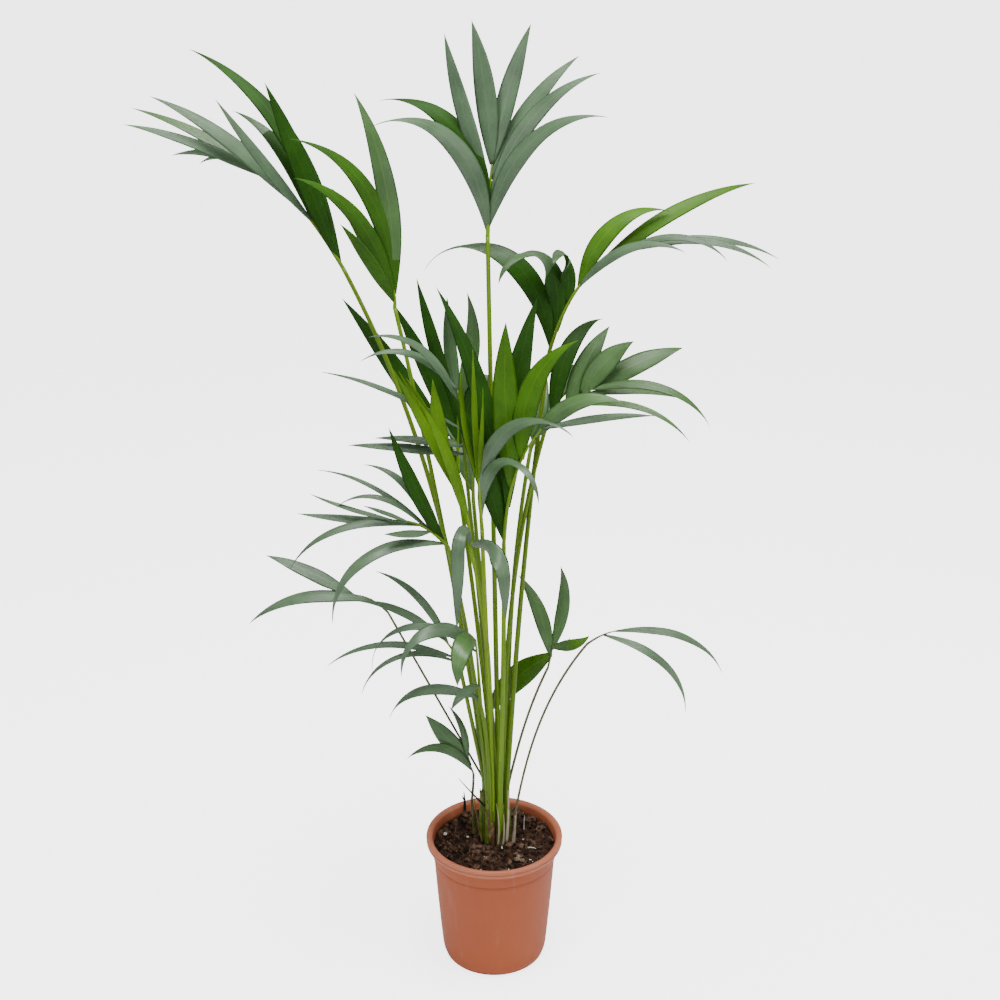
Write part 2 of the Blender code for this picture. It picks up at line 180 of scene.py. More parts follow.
STEMS = {
    "left": Stem((-15, 9), (-15, 9, 280), 7.5, 6.8),
    "front_left": Stem((-6, -8), (-7, -9, 290), 7.5, 6.8),
    "front": Stem((9, -7), (8.5, -8, 285), 7.5, 5.2),
    "right": Stem((17, 7), (18, 7, 275), 7.5, 6.8),
    "back": Stem((1, 9.5), (1.5, 9, 300), 7.5, 6.8),
    "side_left": Stem((-27, 12), (-31, 10, 240), 3.4, 2.8),
    "side_right": Stem((27, -8), (31, -9, 240), 3.6, 2.6),
}

FRONDS = {
    "top": Frond(
        (5.5, 9, 300), 2.5, Limb(120, 88, 0, 719), Limb(72, 81, 4, 86), (-100, 15),
        (
            Leaf(0.0, -155, 81, 104, 228, 26),
            Leaf(0.3, 171, 81, 96, 214, 26),
            Leaf(0.6, 178, 71, -8, 193, 20),
            Leaf(1.0, 158, 86, 12, 168, 26),
            Leaf(1.0, 23, 77, 12, 170, 24),
            Leaf(0.8, 21, 63, 32, 184, 22),
            Leaf(0.5, 0, 70, 56, 208, 22),
            Leaf(0.15, -16, 74, 84, 218, 24),
        ),
    ),
    "upper_left": Frond(
        (-15, 13, 280), 2.7, Limb(159, 84, 24, 721), Limb(165, 58, 28, 171), (-75, 40),
        (
            Leaf(0.0, 165, 75, 56, 332, 26),
            Leaf(0.1, -165, 72, 5, 227, 26),
            Leaf(0.35, 151, 71, 60, 192, 20),
            Leaf(0.4, -154, 52, -4, 192, 16),
            Leaf(0.5, -174, 49, 28, 230, 22),
            Leaf(0.7, 168, 35, 24, 222, 16),
            Leaf(0.8, -167, 30, 20, 194, 16),
            Leaf(1.0, 169, 18, 36, 110, 14),
            Leaf(0.95, -155, 33, 68, 80, 12),
        ),
    ),
    "upper_left_inner": Frond(
        (-11, 9, 280), 2.6, Limb(180, 82, 4, 665), Limb(180, 94, 20, 28), (-80, 20),
        (
            Leaf(0.6, 156, 91, 32, 245, 26),
            Leaf(0.8, -161, 87, 80, 242, 24),
            Leaf(0.3, -147, 74, 60, 214, 22),
            Leaf(0.1, -120, 51, 12, 154, 16),
            Leaf(0.4, 143, 61, 24, 160, 20),
        ),
    ),
    "upper_right": Frond(
        (18, 3, 275), 2.7, Limb(33, 86, 5, 601), Limb(16, 73, 64, 180), (-100, 30),
        (
            Leaf(0.0, 169, 82, 144, 250, 30),
            Leaf(0.15, -136, 99, 172, 194, 32),
            Leaf(0.35, -110, 99, 150, 120, 26),
            Leaf(0.5, 15, 72, 94, 166, 26),
            Leaf(0.65, 16, 37, 32, 238, 20),
            Leaf(0.85, 0, 16, 48, 210, 12),
            Leaf(1.0, -14, 13, 52, 175, 10),
            Leaf(0.9, -22, 27, 76, 144, 10),
            Leaf(0.5, -26, 50, 76, 160, 14),
        ),
    ),
    "centre_right": Frond(
        (8.5, -12, 285), 2.6, Limb(-76, 84, -8, 354), Limb(-28, 86, 36, 173), (-100, 15),
        (
            Leaf(0.0, 178, 76, 12, 206, 28),
            Leaf(0.12, 144, 82, 30, 320, 26),
            Leaf(0.3, 50, 89, 30, 270, 34),
            Leaf(0.45, 180, 85, -8, 214, 34),
            Leaf(0.7, -8, 92, 68, 180, 32),
            Leaf(0.9, -15, 55, 80, 136, 22),
            Leaf(1.0, -17, 18, 16, 144, 10),
        ),
    ),
    "right": Frond(
        (14, 7, 275), 2.5, Limb(17, 90, 16, 504), Limb(14, 49, 24, 80), (-80, 40),
        (
            Leaf(0.2, 50, 85, 100, 175, 24),
            Leaf(0.5, 42, 60, 24, 120, 26),
            Leaf(0.8, 9, 59, 36, 96, 30),
            Leaf(1.0, 14, 28, 20, 130, 28),
            Leaf(0.95, -15, 17, 80, 174, 14),
            Leaf(0.8, 4, 8, 32, 136, 12),
            Leaf(0.5, -22, 16, 68, 176, 10),
        ),
    ),
    "front": Frond(
        (-3, -9, 290), 2.4, Limb(-117, 86, 0, 371), Limb(-119, 82, -5, 70), (-60, 50),
        (
            Leaf(0.6, -28, 85, 125, 204, 20),
            Leaf(0.2, -49, 90, 180, 191, 18),
            Leaf(0.8, -121, 84, -5, 185, 10),
            Leaf(0.9, -166, 75, -20, 164, 10),
            Leaf(1.0, -77, 71, -20, 130, 10),
        ),
    ),
    "folded": Frond(
        (-7, -5, 290), 3.2, Limb(-130, 92, 20, 341), Limb(180, 87, 28, 115), (-70, 20),
        (
            Leaf(0.6, -167, 66, 4, 202, 14),
            Leaf(0.8, 172, 67, 8, 164, 12),
            Leaf(0.9, 161, 70, 16, 140, 12),
            Leaf(1.0, 180, 78, -8, 120, 20),
            Leaf(0.3, -153, 77, 20, 190, 16),
            Leaf(0.0, -106, 76, 600, 190, 18),
            Leaf(0.0, -58, 32, 225, 150, 22),
        ),
    ),
    "left": Frond(
        (-11, -9, 290), 2.4, Limb(-147, 84, 8, 353), Limb(-162, 52, 48, 82), (-90, 60),
        (
            Leaf(0.1, -163, 64, -8, 174, 22),
            Leaf(0.4, 167, 72, 76, 130, 12),
            Leaf(0.3, 162, 40, 44, 180, 8),
            Leaf(0.5, 180, 50, 100, 134, 10),
            Leaf(1.0, 170, 10, -12, 116, 8),
            Leaf(0.8, -160, 28, 4, 66, 8),
            Leaf(0.7, 176, 2, -4, 150, 14),
            Leaf(0.6, -169, 13, 76, 186, 14),
            Leaf(0.0, -153, 16, 116, 208, 20),
            Leaf(0.4, -145, 7, -8, 70, 14),
        ),
    ),
    "arcs_left": Frond(
        (1.5, 5, 300), 2.2, Limb(-170, 85, 0, 430), Limb(-135, 86, 8, 109), (-90, 60),
        (
            Leaf(1.0, -161, 54, 88, 146, 14),
            Leaf(0.8, -146, 67, 72, 178, 14),
            Leaf(0.5, -174, 34, 24, 194, 10),
            Leaf(0.2, -176, 9, 8, 148, 16),
            Leaf(0.3, -177, 11, 12, 114, 14),
        ),
    ),
    "back_left": Frond(
        (-2.5, 9, 300), 2.4, Limb(133, 82, 4, 398), Limb(89, 73, -8, 105), (-90, 15),
        (
            Leaf(0.2, 172, 59, 8, 264, 26),
            Leaf(0.5, 173, 69, 8, 198, 22),
            Leaf(0.7, 143, 69, -4, 198, 18),
            Leaf(1.0, 106, 53, -40, 140, 18),
            Leaf(1.0, 0, 71, -36, 148, 22),
            Leaf(0.4, 40, 70, -20, 150, 16),
        ),
    ),
    "back_right": Frond(
        (18, 11, 275), 2.4, Limb(74, 91, 40, 464), Limb(47, 56, 44, 108), (-110, 50),
        (
            Leaf(0.1, 76, 58, 24, 110, 26),
            Leaf(0.3, 119, 47, 20, 110, 26),
            Leaf(0.5, 68, 34, 100, 152, 26),
            Leaf(0.6, 41, 65, 120, 124, 24),
            Leaf(0.8, 69, 24, 90, 172, 24),
            Leaf(1.0, 39, 39, 100, 118, 22),
            Leaf(1.0, 77, 22, 60, 132, 22),
        ),
    ),
    "back": Frond(
        (1.5, 13, 300), 2.4, Limb(106, 74, 4, 360), Limb(93, 70, 50, 120), (-90, 50),
        (
            Leaf(0.1, 136, 71, 104, 120, 24),
            Leaf(0.3, 44, 47, 76, 98, 24),
            Leaf(0.5, 125, 36, 40, 108, 24),
            Leaf(0.6, 65, 17, 12, 102, 24),
            Leaf(0.8, 100, 24, 80, 146, 22),
            Leaf(1.0, 81, 41, 100, 168, 22),
            Leaf(1.0, 94, 55, 90, 144, 22),
        ),
    ),
    "low_left_outer": Frond(
        (-19, 9, 280), 1.8, Limb(170, 62, 0, 266), Limb(168, 43, 50, 54), (-90, 60),
        (
            Leaf(0.5, -177, 12, 60, 178, 22),
            Leaf(1.0, 170, 28, 15, 130, 22),
        ),
    ),
    "low_left": Frond(
        (-15, 5, 280), 2.3, Limb(-142, 78, 0, 182), Limb(-158, 73, 24, 50), (-90, 60),
        (
            Leaf(0.8, 180, 68, 52, 146, 12),
            Leaf(1.0, -170, 45, 40, 132, 14),
            Leaf(0.3, -173, 25, 68, 182, 12),
            Leaf(0.1, -158, 33, 112, 162, 10),
        ),
    ),
    "low_front": Frond(
        (-7, -13, 290), 2.3, Limb(-128, 86, 12, 118), Limb(-102, 79, 8, 113), (-100, 40),
        (
            Leaf(0.1, 175, 20, 100, 148, 16),
            Leaf(0.3, -125, 14, 60, 66, 14),
            Leaf(0.8, -176, 45, 150, 188, 12),
            Leaf(0.9, -149, 50, 160, 156, 20),
            Leaf(1.0, -106, 37, 156, 112, 28),
        ),
    ),
    "foot_left": Frond(
        (-31, 10, 240), 2.0, Limb(-82, 60, -20, 54), Limb(180, 76, 16, 24), (-80, 20),
        (
            Leaf(0.6, -170, 56, 4, 104, 24),
            Leaf(1.0, 158, 89, 48, 86, 10),
            Leaf(0.3, -155, 60, 96, 118, 14),
            Leaf(0.9, 165, 50, 12, 50, 14),
        ),
    ),
    "low_right": Frond(
        (22, 7, 275), 2.0, Limb(25, 76, 15, 168), Limb(0, 78, -4, 34), (-90, 15),
        (
            Leaf(0.5, 156, 79, 32, 124, 20),
            Leaf(0.8, 43, 65, -48, 124, 18),
            Leaf(0.6, 165, -38, 30, 140, 34),
            Leaf(0.9, -25, 15, -60, 34, 12),
            Leaf(1.0, 31, -20, -50, 62, 16),
        ),
    ),
    "right_outer": Frond(
        (31, -9, 240), 1.9, Limb(4, 80, 28, 264), Limb(0, 38, 28, 42), (-90, 60),
        (
            Leaf(1.0, -4, 8, 80, 170, 14),
            Leaf(0.6, -21, -5, 92, 168, 14),
        ),
    ),
}

DRY_STRIPS = (
    Strip((-5, -18, 184), (-8.5, -18, 228), (-10, -16, 267), 1.6, 0.4, 0),
    Strip((17, -18, 186), (21, -17, 230), (19, -15, 268), 1.9, 0.35, 1),
    Strip((5, -19, 182), (9, -22, 218), (3, -20, 250), 1.1, 0.35, 1),
    Strip((12, -19, 183), (15, -20, 205), (13, -19, 232), 1.3, 0.35, 1),
    Strip((-16, -10, 180), (-25, -8, 220), (-28, -6, 256), 1.4, 1.2, 2),
    Strip((-13, -4, 236), (-27, -7, 254), (-49, -10, 284), 1.6, 0.7, 3),
)
SOIL_STICKS = (
    Strip((-43, 71, 176), (-42.5, 71, 198), (-44, 72, 212), 2.0, 1.8, 0),
    Strip((-43, 71, 196), (-45, 71, 202), (-47, 71, 206), 1.2, 1.0, 0),
    Strip((42, 26, 177), (41.5, 26, 190), (42.8, 26, 202), 0.9, 0.6, 1),
    Strip((47, -24, 182), (52, -26, 184.5), (58, -27, 182.5), 1.1, 0.8, 1),
    Strip((-14, -46, 182), (-8, -49, 183.5), (-3, -50, 182), 0.7, 0.5, 1),
)
SOIL_CLODS = (
    Clod((-22, -29, 181), (13, 10, 6), 2),
    Clod((-10, -20, 180), (7, 6, 4), 2),
    Clod((-72, 12, 181), (8, 7, 6), 2),
    Clod((-55, 34, 180), (6, 6, 5), 2),
    Clod((67, 30, 181), (8, 8, 6), 2),
    Clod((52, 50, 180), (9, 7, 5), 2),
    Clod((60, -18, 180), (6, 5, 4), 2),
    Clod((-45, -20, 180), (6, 5, 4), 2),
    Clod((31, -52, 182), (4.5, 3.5, 3), 3),
    Clod((38, -54, 182), (3.5, 3, 2.5), 3),
    Clod((33, -45, 182), (3, 3.5, 2.5), 3),
    Clod((-69, 7, 184), (2.6, 2.2, 2.2), 1),
    Clod((-37, 1, 183), (1.8, 1.6, 1.5), 1),
)
# Leaf tones per frond and per leaflet: the pale tone is painted sheen, and a turned share puts the underside's painted
# shade on the face toward the outlook.
FROND_LOOKS = {
    "top": Look(Tone.PALE),
    "upper_left": Look(Tone.PALE),
    "upper_left_inner": Look(Tone.MID, 1.0),
    "upper_right": Look(Tone.PALE),
    "centre_right": Look(Tone.DEEP, 1.0),
    "right": Look(Tone.MID),
    "front": Look(Tone.PALE),
    "folded": Look(Tone.NEW, 1.0),
    "left": Look(Tone.PALE),
    "arcs_left": Look(Tone.PALE),
    "back_left": Look(Tone.DEEP, 1.0),
    "low_left_outer": Look(Tone.PALE),
    "low_left": Look(Tone.PALE),
    "low_front": Look(Tone.PALE),
    "right_outer": Look(Tone.PALE),
    "foot_left": Look(Tone.DEEP),
    "low_right": Look(Tone.MID),
}
LEAF_LOOKS = {
    ("top", 1): Look(Tone.DEEP, 1.0),
    ("upper_left", 0): Look(Tone.DEEP, 1.0),
    ("upper_left", 1): Look(Tone.DEEP, 1.0),
    ("upper_left", 2): Look(Tone.DEEP, 0.7),
    ("upper_left", 5): Look(Tone.MID, 0.0),
    ("upper_left_inner", 0): Look(Tone.MID, 0.15),
    ("upper_right", 0): Look(Tone.DEEP, 0.45),
    ("upper_right", 1): Look(Tone.DEEP, 0.4),
    ("upper_right", 2): Look(Tone.DEEP, 0.4),
    ("upper_right", 3): Look(Tone.FRESH, 1.0),
    ("upper_right", 4): Look(Tone.FRESH, 1.0),
    ("centre_right", 3): Look(Tone.FRESH, 1.0),
    ("centre_right", 4): Look(Tone.FRESH, 1.0),
    ("centre_right", 5): Look(Tone.MID, 0.0),
    ("centre_right", 6): Look(Tone.PALE, 0.0),
    ("right", 0): Look(Tone.DEEP, 1.0),
    ("front", 2): Look(Tone.NEW, 1.0),
    ("front", 3): Look(Tone.NEW, 1.0),
    ("front", 4): Look(Tone.NEW, 1.0),
    ("folded", 5): Look(Tone.PALE),
    ("folded", 6): Look(Tone.PALE),
    ("left", 0): Look(Tone.DEEP, 1.0),
    ("back_left", 3): Look(Tone.DEEP),
    ("back_left", 4): Look(Tone.MID),
    ("low_front", 4): Look(Tone.MID),
    ("low_right", 2): Look(Tone.FRESH, 1.0),
    ("low_right", 4): Look(Tone.FRESH, 1.0),
}
STALK_TONES = {
    "folded": StalkTone.BRIGHT,
    "front": StalkTone.BRIGHT,
    "centre_right": StalkTone.GREEN,
    "upper_right": StalkTone.OLIVE,
    "low_left_outer": StalkTone.GREY,
    "right_outer": StalkTone.GREY,
    "foot_left": StalkTone.GREY,
    "low_right": StalkTone.GREY,
    "top": StalkTone.GREEN,
    "upper_left_inner": StalkTone.GREEN,
    "back_left": StalkTone.GREEN,
}
STEM_TONES = {
    "left": SheathTone.GREEN,
    "front_left": SheathTone.GREEN,
    "front": SheathTone.OLIVE,
    "right": SheathTone.OLIVE,
    "back": SheathTone.GREEN,
    "side_left": SheathTone.OLIVE,
    "side_right": SheathTone.PAPER,
}


def compass(bearing: float, rise: float) -> Vector:
    """Point toward a bearing and a rise.

    Args:
        bearing: Degrees anticlockwise from +X seen from above.
        rise: Degrees above the horizon.

    Returns:
        The unit vector.
    """
    turn = math.radians(bearing)
    lift = math.radians(rise)
    return Vector((math.cos(lift) * math.cos(turn), math.cos(lift) * math.sin(turn), math.sin(lift)))


def sunk_rise(limb: Limb, share: float) -> float:
    """Return the rise of a limb a share of the way along, no steeper than hanging."""
    return max(limb.rise - limb.sag * share**DROOP_POWER, HANGING)


def limb_path(start: Vector, limb: Limb, steps: int) -> tuple[list[Vector], list[Vector]]:
    """Walk along a limb.

    Args:
        start: The limb's first point.
        limb: Its bearing, rise, sag and length.
        steps: How many even steps to return.

    Returns:
        The points, and the limb's direction at each.
    """
    points = [Vector(start)]
    heads = [compass(limb.bearing, limb.rise)]
    here = Vector(start)
    count = steps * FINE_STEPS
    for step in range(count):
        here = here + compass(limb.bearing, sunk_rise(limb, (step + 0.5) / count)) * (limb.length / count)
        if (step + 1) % FINE_STEPS == 0:
            points.append(here.copy())
            heads.append(compass(limb.bearing, sunk_rise(limb, (step + 1) / count)))
    return points, heads


def along(points: list[Vector], share: float) -> Vector:
    """Return the point a share of the way along evenly spaced points."""
    place = min(max(share, 0.0), 1.0) * (len(points) - 1)
    index = min(int(place), len(points) - 2)
    return points[index].lerp(points[index + 1], place - index)


def smooth_step(value: float, low: float, high: float) -> float:
    """Return 0 below low, 1 above high and a smooth rise between."""
    share = min(max((value - low) / (high - low), 0.0), 1.0)
    return share * share * (3.0 - 2.0 * share)


class Skin:
    """Points and faces gathered for one mesh, with a UV and a finish for each face."""

    def __init__(self) -> None:
        """Start with nothing."""
        self.points: list[Vector] = []
        self.faces: list[tuple] = []
        self.uvs: list[tuple] = []
        self.finishes: list[int] = []

    def point(self, spot: Vector) -> int:
        """Add a point in millimetres and return its number."""
        self.points.append(spot * MM)
        return len(self.points) - 1

    def face(self, corners: tuple, uvs: tuple, finish: int) -> None:
        """Add one face with the UV of each corner and its finish's number."""
        self.faces.append(corners)
        self.uvs.append(uvs)
        self.finishes.append(finish)

    def tube(self, rings: list[list[int]], lengths: list[float], finish: int, capped: bool = True) -> None:
        """Join rings of equal count into a closed tube.

        Args:
            rings: Point numbers, ring by ring.
            lengths: Distance along the tube of each ring, in millimetres.
            finish: The finish's number.
            capped: Whether both ends are closed.
        """
        count = len(rings[0])
        for lower, upper, low, high in zip(rings, rings[1:], lengths, lengths[1:]):
            for i in range(count):
                j = (i + 1) % count
                left, right = i / count, (i + 1) / count
                self.face(
                    (lower[i], lower[j], upper[j], upper[i]),
                    ((left, low * MM), (right, low * MM), (right, high * MM), (left, high * MM)),
                    finish,
                )
        if capped:
            flat = tuple((0.5, lengths[0] * MM) for _ in rings[0])
            self.face(tuple(reversed(rings[0])), flat, finish)
            self.face(tuple(rings[-1]), flat, finish)

    def build(self, name: str, materials: list[bpy.types.Material]) -> bpy.types.Object:
        """Make the object.

        Args:
            name: The piece's name.
            materials: Its finishes, in the order of their numbers.

        Returns:
            The object, at the origin with its place in its mesh.
        """
        mesh = bpy.data.meshes.new(name)
        mesh.from_pydata([tuple(spot) for spot in self.points], [], self.faces)
        layer = mesh.uv_layers.new(name="surface")
        flat = [value for face in self.uvs for corner in face for value in corner]
        layer.data.foreach_set("uv", flat)
        for made in materials:
            mesh.materials.append(made)
        mesh.polygons.foreach_set("material_index", self.finishes)
        mesh.polygons.foreach_set("use_smooth", [True] * len(self.faces))
        mesh.update()
        obj = bpy.data.objects.new(name, mesh)
        bpy.context.scene.collection.objects.link(obj)
        return obj


class Dye:
    """A Principled material with short ways to add and link its nodes."""

    def __init__(self, name: str, roughness: float, specular: float = 0.5) -> None:
        """Start a material with its even gloss.

        Args:
            name: The material's name.
            roughness: The even roughness.
            specular: The specular level.
        """
        self.material = bpy.data.materials.new(name)
        self.material.use_nodes = True
        self.tree = self.material.node_tree
        self.shader = self.tree.nodes["Principled BSDF"]
        self.shader.inputs["Roughness"].default_value = roughness
        self.shader.inputs["Specular IOR Level"].default_value = specular
        self.places = self.tree.nodes.new("ShaderNodeTexCoord")

    def node(self, kind: str, values: dict | None = None, **settings: object) -> bpy.types.Node:
        """Add a node.

        Args:
            kind: The node's type name.
            values: Sockets by name or number, each a value or an output to link.
            settings: The node's own properties.

        Returns:
            The node.
        """
        made = self.tree.nodes.new(kind)
        for key, value in settings.items():
            setattr(made, key, value)
        for key, value in (values or {}).items():
            self.set(made.inputs[key], value)
        return made

    def set(self, socket: bpy.types.NodeSocket, value: object) -> None:
        """Give a socket a value, or link it where the value is another socket."""
        if isinstance(value, bpy.types.NodeSocket):
            self.tree.links.new(value, socket)
        else:
            socket.default_value = value

    def math(self, operation: str, first: object, second: object = 0.0) -> bpy.types.NodeSocket:
        """Return the output of a Math node on two values or outputs."""
        return self.node("ShaderNodeMath", {0: first, 1: second}, operation=operation).outputs[0]

    def noise(self, place: object, scale: float, detail: float = 4.0) -> bpy.types.NodeSocket:
        """Return a noise between 0 and 1 over a place."""
        values = {"Vector": place, "Scale": scale, "Detail": detail}
        return self.node("ShaderNodeTexNoise", values).outputs["Fac"]

    def stretch(self, place: object, scale: tuple) -> bpy.types.NodeSocket:
        """Return a place scaled by three factors."""
        return self.node("ShaderNodeMapping", {"Vector": place, "Scale": scale}).outputs[0]

    def range(self, value: object, low: float, high: float, to_low: float, to_high: float) -> bpy.types.NodeSocket:
        """Return a value carried from one range to another, clamped."""
        values = {"Value": value, "From Min": low, "From Max": high, "To Min": to_low, "To Max": to_high}
        return self.node("ShaderNodeMapRange", values).outputs[0]

    def mix(self, factor: object, first: object, second: object) -> bpy.types.NodeSocket:
        """Return a mix of two colours or colour outputs."""
        made = self.node("ShaderNodeMix", {"Factor": factor}, data_type="RGBA")
        for socket, value in ((made.inputs[6], first), (made.inputs[7], second)):
            self.set(socket, (*value, 1.0) if isinstance(value, tuple) else value)
        return made.outputs[2]

    def finish(self, colour: object, height: object, depth: float, strength: float = 0.6) -> None:
        """Set the colour and the relief.

        Args:
            colour: The colour output.
            height: The output that the relief follows.
            depth: The relief's depth in metres.
            strength: The relief's strength.
        """
        self.set(self.shader.inputs["Base Color"], colour)
        bump = self.node("ShaderNodeBump", {"Height": height, "Distance": depth, "Strength": strength})
        self.set(self.shader.inputs["Normal"], bump.outputs[0])


@dataclass(frozen=True)
class LeafFinish:
    """The surface of one side of a leaflet: fine veins along it and a midrib."""

    colour: Colour
    rib: Colour
    roughness: float = 0.36
    specular: float = 0.34
    veins: float = 13.0
    vein_shade: float = 0.16

    def make(self, name: str) -> bpy.types.Material:
        """Build the material.

        Args:
            name: The material's name.

        Returns:
            The material.
        """
        dye = Dye(name, self.roughness, self.specular)
        uv = dye.places.outputs["UV"]
        across = dye.node("ShaderNodeSeparateXYZ", {0: uv}).outputs[0]
        object_place = dye.places.outputs["Object"]
        cloud = dye.noise(object_place, 22.0)
        wave = dye.math("SINE", dye.math("MULTIPLY", across, self.veins * 2.0 * math.pi))
        streaks = dye.noise(dye.stretch(uv, (40.0, 14.0, 1.0)), 1.0, 2.0)
        deeper = tuple(0.62 * part for part in self.colour)
        lighter = tuple(min(1.0, 1.25 * part) for part in self.colour)
        body = dye.mix(dye.range(cloud, 0.3, 0.7, 0.0, 1.0), deeper, lighter)
        body = dye.mix(dye.range(wave, -1.0, 1.0, 0.0, self.vein_shade), body, lighter)
        body = dye.mix(dye.range(streaks, 0.35, 0.75, 0.0, 0.35), body, self.colour)
        off_middle = dye.math("ABSOLUTE", dye.math("SUBTRACT", across, 0.5))
        body = dye.mix(dye.range(off_middle, 0.008, 0.035, 0.5, 0.0), body, self.rib)
        height = dye.math("ADD", dye.math("MULTIPLY", wave, 0.5), streaks)
        dye.finish(body, height, 0.00025, 0.5)
        return dye.material


@dataclass(frozen=True)
class StalkFinish:
    """The skin of a petiole: long streaks, paler along one side."""

    colour: Colour
    streak: Colour
    roughness: float = 0.42

    def make(self, name: str) -> bpy.types.Material:
        """Build the material.

        Args:
            name: The material's name.

        Returns:
            The material.
        """
        dye = Dye(name, self.roughness, 0.25)
        uv = dye.places.outputs["UV"]
        fine = dye.noise(dye.stretch(uv, (14.0, 5.0, 1.0)), 1.0, 3.0)
        broad = dye.noise(dye.stretch(uv, (2.0, 9.0, 1.0)), 1.0, 2.0)
        body = dye.mix(dye.range(fine, 0.35, 0.7, 0.0, 0.8), self.colour, self.streak)
        darker = tuple(0.5 * part for part in self.colour)
        body = dye.mix(dye.range(broad, 0.5, 0.75, 0.0, 0.55), body, darker)
        specks = dye.noise(dye.places.outputs["Object"], 420.0, 2.0)
        body = dye.mix(dye.range(specks, 0.64, 0.72, 0.0, 0.5), body, (0.06, 0.035, 0.015))
        dye.finish(body, fine, 0.0004, 0.6)
        return dye.material


@dataclass(frozen=True)
class SheathFinish:
    """The dry or green sheath round a stem: ribs along it and blotches."""

    colour: Colour
    blotch: Colour
    roughness: float = 0.62

    def make(self, name: str) -> bpy.types.Material:
        """Build the material.

        Args:
            name: The material's name.

        Returns:
            The material.
        """
        dye = Dye(name, self.roughness, 0.35)
        uv = dye.places.outputs["UV"]
        ribs = dye.noise(dye.stretch(uv, (26.0, 10.0, 1.0)), 1.0, 5.0)
        blotches = dye.noise(dye.places.outputs["Object"], 90.0, 5.0)
        darker = tuple(0.4 * part for part in self.colour)
        body = dye.mix(dye.range(ribs, 0.35, 0.65, 0.0, 1.0), darker, self.colour)
        body = dye.mix(dye.range(blotches, 0.5, 0.68, 0.0, 0.85), body, self.blotch)
        dye.finish(body, ribs, 0.0009, 0.8)
        return dye.material


@dataclass(frozen=True)
class PotFinish:
    """Matt moulded plastic with slight clouding and scuffs."""

    colour: Colour
    cloud: Colour
    roughness: float = 0.55

    def make(self, name: str) -> bpy.types.Material:
        """Build the material.

        Args:
            name: The material's name.

        Returns:
            The material.
        """
        dye = Dye(name, self.roughness, 0.4)
        place = dye.places.outputs["Object"]
        clouds = dye.noise(place, 9.0, 3.0)
        grain = dye.noise(place, 900.0, 2.0)
        scuffs = dye.noise(dye.stretch(place, (60.0, 60.0, 12.0)), 1.0, 6.0)
        body = dye.mix(dye.range(clouds, 0.35, 0.65, 0.0, 0.6), self.colour, self.cloud)
        dusty = tuple(0.75 * part + 0.12 for part in self.cloud)
        body = dye.mix(dye.range(scuffs, 0.6, 0.8, 0.0, 0.35), body, dusty)
        dye.set(dye.shader.inputs["Roughness"], dye.range(clouds, 0.3, 0.7, self.roughness - 0.08, self.roughness))
        dye.finish(body, grain, 0.00012, 0.35)
        return dye.material


@dataclass(frozen=True)
class SoilFinish:
    """Crumbly peat, dark with redder fibres."""

    colour: Colour
    fibre: Colour

    def make(self, name: str) -> bpy.types.Material:
        """Build the material.

        Args:
            name: The material's name.

        Returns:
            The material.
        """
        dye = Dye(name, 0.95, 0.15)
        place = dye.places.outputs["Object"]
        coarse = dye.noise(place, 160.0, 8.0)
        fine = dye.noise(place, 900.0, 4.0)
        body = dye.mix(dye.range(coarse, 0.4, 0.68, 0.0, 1.0), self.colour, self.fibre)
        dye.finish(body, dye.math("ADD", coarse, dye.math("MULTIPLY", fine, 0.5)), 0.0025, 1.0)
        return dye.material


